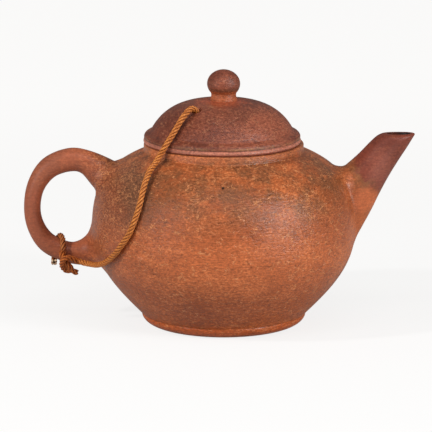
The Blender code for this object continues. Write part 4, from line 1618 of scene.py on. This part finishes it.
@dataclass
class Tether:
    """The cord that ties the lid to the handle: its free stretch, its turn round the handle, its knots.

    The free stretch runs from the stop knot inside the lid, out of the hole, over the lid's rim, down the
    body and along the handle's root to the knot.
    """

    rope: Rope = field(default_factory=Rope)
    free_length: float = 0.1133
    route: tuple[Point, ...] = (
        (-0.0097, -0.0120, 0.0842),
        (-0.0102, -0.0127, 0.0864),
        (-0.0110, -0.0137, 0.0882),
        (-0.0122, -0.0151, 0.0893),
        (-0.0138, -0.0168, 0.0889),
        (-0.0158, -0.0190, 0.0868),
        (-0.0172, -0.0202, 0.0848),
        (-0.0200, -0.0222, 0.0803),
        (-0.0227, -0.0243, 0.0763),
        (-0.0251, -0.0240, 0.0722),
        (-0.0268, -0.0258, 0.0695),
        (-0.0287, -0.0296, 0.0676),
        (-0.0302, -0.0341, 0.0646),
        (-0.0313, -0.0371, 0.0612),
        (-0.0332, -0.0403, 0.0539),
        (-0.0364, -0.0400, 0.0452),
        (-0.0402, -0.0367, 0.0386),
        (-0.0429, -0.0331, 0.0344),
        (-0.0463, -0.0271, 0.0302),
        (-0.0499, -0.0195, 0.0274),
        (-0.0527, -0.0132, 0.0262),
        (-0.0557, -0.0096, 0.0259),
        (-0.0580, -0.0085, 0.0264),
    )
    # Two heights of points over the middle of the free stretch
    still_below: float = 0.0330
    lifted_above: float = 0.0770
    # Where the turn stands on the handle, and how far it drifts along it on its way round
    station_share: float = 0.78
    drift: float = 0.0035
    drift_shares: tuple = (0.35, 0.25, -0.35, -0.80, -0.78)
    slack: float = 0.0005
    turn_fray: float = 0.35
    tail_fray: float = 0.1
    turn_start: float = math.radians(192)
    turn_end: float = math.radians(-112)
    knot_route: tuple[Point, ...] = (
        (-0.0647, -0.0070, 0.0300),
        (-0.0642, -0.0083, 0.0276),
        (-0.0625, -0.0092, 0.0256),
        (-0.0611, -0.0083, 0.0235),
        (-0.0621, -0.0066, 0.0220),
        (-0.0637, -0.0069, 0.0228),
        (-0.0645, -0.0090, 0.0248),
        (-0.0640, -0.0111, 0.0274),
        (-0.0617, -0.0107, 0.0282),
        (-0.0580, -0.0085, 0.0264),
    )
    tail_route: tuple[Point, ...] = (
        (-0.0631, -0.0078, 0.0252),
        (-0.0615, -0.0080, 0.0232),
        (-0.0599, -0.0077, 0.0220),
        (-0.0585, -0.0073, 0.0214),
    )
    # The stop knot: its size, how far it stands off the cord's start, and its turns
    stop_radius: float = 0.0028
    stop_depth: float = 0.0024
    stop_gap: float = 0.0003
    stop_turns: tuple[float, float] = (0.1, 2.1)

    def turn_points(self, body: RoundBody, handle: Handle, count: int = 200) -> np.ndarray:
        """The turn round the handle, from the front over the top and the back to the underside."""
        stations = handle.stations(body.belly_radius, 400)
        at = int(self.station_share * (len(stations) - 1))
        (x0, z0), (x1, z1) = stations[at - 1, :2], stations[at + 1, :2]
        slope = (z1 - z0) / (x1 - x0)
        x, z, thick, deep = stations[at]
        clear = self.rope.diameter / 2
        high, wide = thick / 2 * math.hypot(1.0, slope) + clear, deep / 2 + clear
        drifts = self.drift * smooth([[share] for share in self.drift_shares], count)[:, 0]
        turns = np.linspace(self.turn_start, self.turn_end, count)
        slack = self.slack * np.clip(-np.sin(turns), 0.0, 1.0)
        heights = z + slope * drifts + (high + slack) * np.sin(turns)
        return np.column_stack([x + drifts, wide * np.cos(turns), heights])

    def build(
        self, shop: Workshop, body: RoundBody, handle: Handle, lid: Lid, finishes: Sequence[Material]
    ) -> None:
        """Makes all of the cord.

        Args:
            shop: the workshop.
            body, handle: what it runs along and round.
            lid: what it ties.
            finishes: the fibre of the cord, and darker copies of it with painted shade for its turn round
                the handle and for its knot.
        """
        rope = self.rope
        finish, shaded_turn_finish, shaded_knot_finish = finishes
        path, length = even_path(self.route, rope.step)
        free = rope.lay(shop, "cord_free", path, finish)
        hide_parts("tether_cord")
        turn_path = rope.path(self.turn_points(body, handle)[::8])
        turn = rope.lay(shop, "cord_turn", turn_path, shaded_turn_finish, self.turn_fray)
        knot = rope.lay(shop, "cord_knot", rope.path(self.knot_route), shaded_knot_finish)
        tail = rope.lay(shop, "cord_tail", rope.path(self.tail_route), shaded_knot_finish, self.tail_fray)
        for piece, node in ((turn, "tether_loop"), (knot, "tether_knot"), (tail, "tether_tail")):
            shop.tie(piece, Body.POT, Slot.CORD, [node])
        stop = rope.lay(shop, "cord_stop", self.stop_points(lid), finish)
        shop.tie(stop, Body.LID, Slot.CORD, ["tether_stop"])
        shift = np.array([shop.axis_x, 0.0, 0.0])
        middle = path[len(path) // 2] + shift
        still, lifted = (*middle[:2], self.still_below), (*middle[:2], self.lifted_above)
        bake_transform(free)
        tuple(still)
        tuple(lifted)
        [tuple(p) for p in path[::4] + shift]
        LOG.info("cord: %.1f mm free", length * 1000)

    def stop_points(self, lid: Lid) -> np.ndarray:
        """The knot inside the lid, as a small ball of two tight turns under the hole."""
        _, out = lid.normal(*lid.hole_at)
        side, other = square_to(out)
        middle = np.array(self.route[0]) - out * (self.stop_depth + self.stop_gap)
        t = np.linspace(0.0, 1.0, 14)
        turns = math.tau * (self.stop_turns[1] * t + self.stop_turns[0])
        spread = (self.stop_radius - self.rope.diameter / 2) * np.sin(math.pi * (0.12 + 0.8 * t)) ** 0.5
        height = (1.0 - 2.0 * t) * (self.stop_depth - self.rope.diameter / 2)
        points = middle + np.outer(spread * np.cos(turns), side) + np.outer(spread * np.sin(turns), other)
        return self.rope.path(points + np.outer(height, out))


# The stage


@dataclass
class Studio:
    """The camera at the photograph's angle, a pale floor and soft light."""

    camera_at: Point = (0.0, -1.300, 0.319)
    aim_at: Point = (-0.00312, 0.0, 0.0430)
    lens: float = 276.6
    sensor: float = 36.0
    floor_radius: float = 6.0
    lamps: tuple = (
        ("left", (-0.92, -0.70, 0.38), (0.32, 0.30), 2.8),
        ("right", (0.92, -0.68, 0.48), (0.30, 0.32), 9.0),
        ("side", (-0.95, -0.52, 0.80), (0.08, 0.10), 7.2),
        ("top", (0.05, -0.62, 1.05), (0.9, 0.3), 2.6),
    )
    # The lamps that no surface mirrors, and what all lamps face
    unmirrored: tuple[str, ...] = ("side",)
    lit_at: Point = (0.0, 0.0, 0.05)
    # How bright the sky is as light, in a mirroring surface and to the camera
    sky: float = 0.27
    mirrored_sky: float = 0.14
    seen_sky: float = 0.973
    # How much light the floor throws back, and the glow and the tone that the camera sees, near and far
    bounce: Colour = (0.52, 0.52, 0.97 * 0.52, 1.0)
    paper_tint: Colour = (1.0, 0.994, 0.985, 1.0)
    paper_glow: float = 0.925
    paper_shade: float = 0.062
    paper_speckle: float = 0.004
    near_glow: float = 0.81
    near_shade: float = 0.17
    near_reach: tuple[float, float] = (0.15, 0.55)

    def set_camera(self, axis_x: float) -> None:
        """Sets up the camera."""
        data = bpy.data.cameras.new("camera")
        data.lens = self.lens
        data.sensor_width = self.sensor
        data.clip_end = 50.0
        camera = bpy.data.objects.new("camera", data)
        bpy.context.scene.collection.objects.link(camera)
        place, aim = Vector(self.camera_at), Vector(self.aim_at)
        place.x += axis_x
        aim.x += axis_x
        camera.location = place
        camera.rotation_euler = self.facing(place, aim)
        bpy.context.scene.camera = camera

    @staticmethod
    def facing(place: Vector, aim: Vector) -> Euler:
        """The turn that makes a lamp or a camera look from one place at another."""
        return (aim - place).to_track_quat("-Z", "Y").to_euler()

    def set_lights(self) -> None:
        """Hangs the lamps and sets the sky."""
        for name, place, size, power in self.lamps:
            data = bpy.data.lights.new("lamp_" + name, "AREA")
            data.shape = "RECTANGLE"
            data.size, data.size_y = size
            data.energy = power
            lamp = bpy.data.objects.new("lamp_" + name, data)
            lamp.location = place
            lamp.visible_glossy = name not in self.unmirrored
            lamp.rotation_euler = self.facing(Vector(place), Vector(self.lit_at))
            bpy.context.scene.collection.objects.link(lamp)
        world = bpy.data.worlds.new("sky")
        world.use_nodes = True
        bpy.context.scene.world = world
        tree = Tree(world.node_tree)
        ray = tree.add("ShaderNodeLightPath").outputs
        strength = tree.times_plus(ray["Is Glossy Ray"], self.mirrored_sky - self.sky, self.sky)
        strength = tree.times_plus(ray["Is Camera Ray"], self.seen_sky - self.sky, strength)
        background = world.node_tree.nodes["Background"]
        tree.feed(background, {"Color": (1.0, 1.0, 1.0, 1.0), "Strength": strength})

    def set_floor(self) -> None:
        """Lays the floor, which shows as near white and keeps the shadow."""
        turns = one_turn(64)
        points = oval(turns, (self.floor_radius, 0.0, 0.0), (0.0, self.floor_radius, 0.0))
        floor = mesh_object("floor", points, [tuple(range(len(turns)))])
        material, tree, shader = new_material("pale_paper")
        here = tree.here()
        ray = tree.add("ShaderNodeLightPath").outputs["Is Camera Ray"]
        far_reach, near_reach = self.near_reach[1], self.near_reach[0]
        near = tree.between(tree.length(here), far_reach, near_reach)
        shade = tree.times_plus(near, self.near_shade - self.paper_shade, self.paper_shade)
        glow = tree.times_plus(near, self.near_glow - self.paper_glow, self.paper_glow)
        tone = tree.times_plus(tree.noise(here, 900.0), self.paper_speckle, shade)
        shown = tree.add("ShaderNodeCombineColor", {0: tone, 1: tone, 2: tone}).outputs[0]
        shading = {
            "Base Color": tree.mix(ray, self.bounce, shown),
            "Roughness": 0.9,
            "Specular IOR Level": 0.0,
            "Emission Color": self.paper_tint,
            "Emission Strength": tree.times(ray, glow),
        }
        tree.feed(shader, shading)
        floor.data.materials.append(material)


# Everything together


POT_CLAY = ClayFinish(
    name="pot_clay",
    light=seen(190, 99, 50),
    dark=seen(158, 80, 40),
    fleck=seen(226, 150, 96),
    soot=seen(84, 44, 28),
    roughness=0.28,
    smooth_from=0.046,
    bands=(
        # The shoulder's dark tea stain, the light line under the mouth's ring, the warm hip and foot
        Band(seen(120, 74, 44), 0.040, 0.060, 0.80),
        Band(seen(192, 110, 68), 0.0700, 0.0716, 0.5, wander=0.003, cloudy=False),
        Band(seen(174, 82, 24), 0.024, 0.008, 0.65, wander=0.02, cloudy=False),
        Band(seen(190, 88, 36), 0.0046, 0.0036, 0.75, wander=0.002, cloudy=False),
    ),
    patches=(
        # The smoky left shoulder, the handle, and painted shade on the clay beside the handle's root,
        # between the handle and the cord
        Patch(seen(104, 70, 50), (-0.037, -0.026, 0.0570), (0.014, 0.03, 0.013), 0.65),
        Patch(seen(152, 82, 59), (-0.072, 0.0, 0.0520), (0.028, 0.05, 0.034), 0.7),
        Patch(seen(140, 72, 42), (-0.046, -0.022, 0.0450), (0.012, 0.020, 0.018), 0.6),
        # The bright band of the belly, painted shade on the browner lower belly under it, and a line of
        # painted shade in the hollow under the mouth's ring
        Patch(seen(206, 110, 60), (0.014, -0.052, 0.0330), (0.050, 0.040, 0.012), 0.5, 0.6, 1.2),
        Patch(seen(148, 66, 14), (0.002, -0.040, 0.0140), (0.034, 0.030, 0.009), 0.55, 0.7, 1.0),
        Patch(seen(92, 44, 24), (0.00185, 0.0, 0.0693), (0.0400, 0.0400, 0.0006), 0.25, ragged=0.2),
        # The spout: its dark end, the darkest part of that, a painted highlight streak along the middle of
        # that, and its orange root
        Patch(seen(122, 54, 37), (0.072, 0.0, 0.0720), (0.0195, 0.03, 0.0195), 0.95, 0.10, 0.35),
        Patch(seen(98, 46, 36), (0.0650, -0.002, 0.0740), (0.0060, 0.02, 0.0065), 0.5, 0.6),
        Patch(seen(152, 84, 66), (0.0640, -0.010, 0.0640), (0.0045, 0.012, 0.0075), 0.6, 0.6),
        Patch(seen(198, 104, 58), (0.0583, -0.004, 0.0509), (0.0050, 0.012, 0.0050), 0.8),
        # A painted highlight of a small dent beside the cord, painted shade inside the spout's bore, and
        # painted shade for a small pit under the lid
        Patch(seen(206, 130, 94), (-0.0300, -0.0380, 0.0350), (0.0020, 0.004, 0.0010), 0.6, ragged=0.2),
        Patch(seen(30, 16, 12), (0.0716, 0.0, 0.0762), (0.0049, 0.0029, 0.0024), 1.0, 0.08, 0.0),
        Patch(seen(26, 12, 8), (0.0015, -0.0432, 0.0631), (0.00062, 0.0010, 0.00062), 1.0, 0.12, 0.0),
    ),
)
LID_CLAY = ClayFinish(
    name="lid_clay",
    light=seen(134, 68, 47),
    dark=seen(108, 55, 40),
    fleck=seen(180, 118, 82),
    soot=seen(74, 40, 30),
    roughness=0.36,
    fleck_share=0.25,
    scratch_share=0.5,
    bands=(
        Band(seen(116, 66, 48), 0.0800, 0.0880, 0.5),
        Band(seen(150, 104, 68), 0.0764, 0.0759, 0.7, wander=0.0010),
        # A line of painted shade in the notch between the bead and its fine ring
        Band(seen(62, 30, 20), 0.0754, 0.0752, 0.85, wander=0.0002, cloudy=False),
        # A painted highlight along the fine ring under the bead
        Band(seen(182, 112, 90), 0.0752, 0.0749, 1.0, wander=0.0002, cloudy=False),
        # Under the ring's middle, the painted highlight gives way to a darker clay tone
        Band(seen(126, 62, 45), 0.0740, 0.0734, 0.9, wander=0.0002, cloudy=False),
    ),
    patches=(
        Patch(seen(168, 76, 42), (0.0014, -0.0010, 0.0898), (0.0100, 0.0110, 0.006), 0.8),
        Patch(seen(102, 48, 30), (-0.0175, -0.0190, 0.0815), (0.011, 0.02, 0.008), 0.55, edge=0.6),
        Patch(seen(162, 88, 62), (0.0215, -0.0140, 0.0820), (0.012, 0.020, 0.007), 0.6, ragged=1.0),
    ),
)
KNOB_CLAY = ClayFinish(
    name="knob_clay",
    light=seen(146, 76, 52),
    dark=seen(118, 60, 42),
    fleck=seen(186, 128, 96),
    soot=seen(84, 46, 34),
    roughness=0.41,
    fleck_share=0.15,
    bands=(
        Band(seen(104, 60, 34), 0.0957, 0.0951, 0.6, wander=0.0006, cloudy=False),
        Band(seen(176, 92, 52), 0.0944, 0.0938, 0.8, wander=0.0006, cloudy=False),
    ),
    # Painted shade on the knob's left, which dims the highlight of the left lamps there
    patches=(Patch(seen(108, 56, 40), (-0.0028, -0.0040, 0.1000), (0.0032, 0.0040, 0.0042), 0.6),),
    scratch_share=0.25,
)
# In all three fibres the crown is a painted highlight and the groove is painted shade
CORD_FIBRE = FibreFinish(
    name="cord_fibre",
    crown=seen(230, 148, 72),
    light=seen(194, 109, 42),
    dark=seen(150, 77, 28),
    groove=seen(52, 20, 7),
)
# Darker copies of the cord's fibre, as painted shade for the turn round the handle and for the knot under
# it
SHADED_TURN_FIBRE = FibreFinish(
    name="turn_fibre_shaded",
    crown=seen(200, 124, 66),
    light=seen(164, 90, 44),
    dark=seen(112, 54, 26),
    groove=seen(52, 22, 10),
    cut=seen(226, 196, 160),
)
SHADED_KNOT_FIBRE = FibreFinish(
    name="knot_fibre_shaded",
    crown=seen(214, 122, 50),
    light=seen(178, 90, 30),
    dark=seen(126, 56, 16),
    groove=seen(70, 26, 9),
)


def main() -> None:
    """Builds the teapot around the frame."""
    logging.basicConfig(level=logging.INFO, format="%(message)s")
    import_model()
    wall_low, wall_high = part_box("body_wall")
    shop = Workshop(axis_x=(wall_low.x + wall_high.x) / 2)
    studio = Studio()
    studio.set_camera(shop.axis_x)
    pot_clay, lid_clay, knob_clay = POT_CLAY.make(), LID_CLAY.make(), KNOB_CLAY.make()
    body, handle, spout, lid = RoundBody(), Handle(), Spout(), Lid()
    Tether().build(shop, body, handle, lid, (CORD_FIBRE.make(), SHADED_TURN_FIBRE.make(), SHADED_KNOT_FIBRE.make()))
    PotSkin(body, handle, spout).build(shop, pot_clay)
    spout.build(shop, body, pot_clay)
    MouthCollar().build(shop, body, pot_clay)
    FootRing().build(shop, body, pot_clay)
    lid.build(shop, lid_clay)
    Knob().build(shop, lid, knob_clay)
    studio.set_lights()
    studio.set_floor()
    bpy.context.scene.view_settings.view_transform = "Standard"


if __name__ == "__main__":
    main()
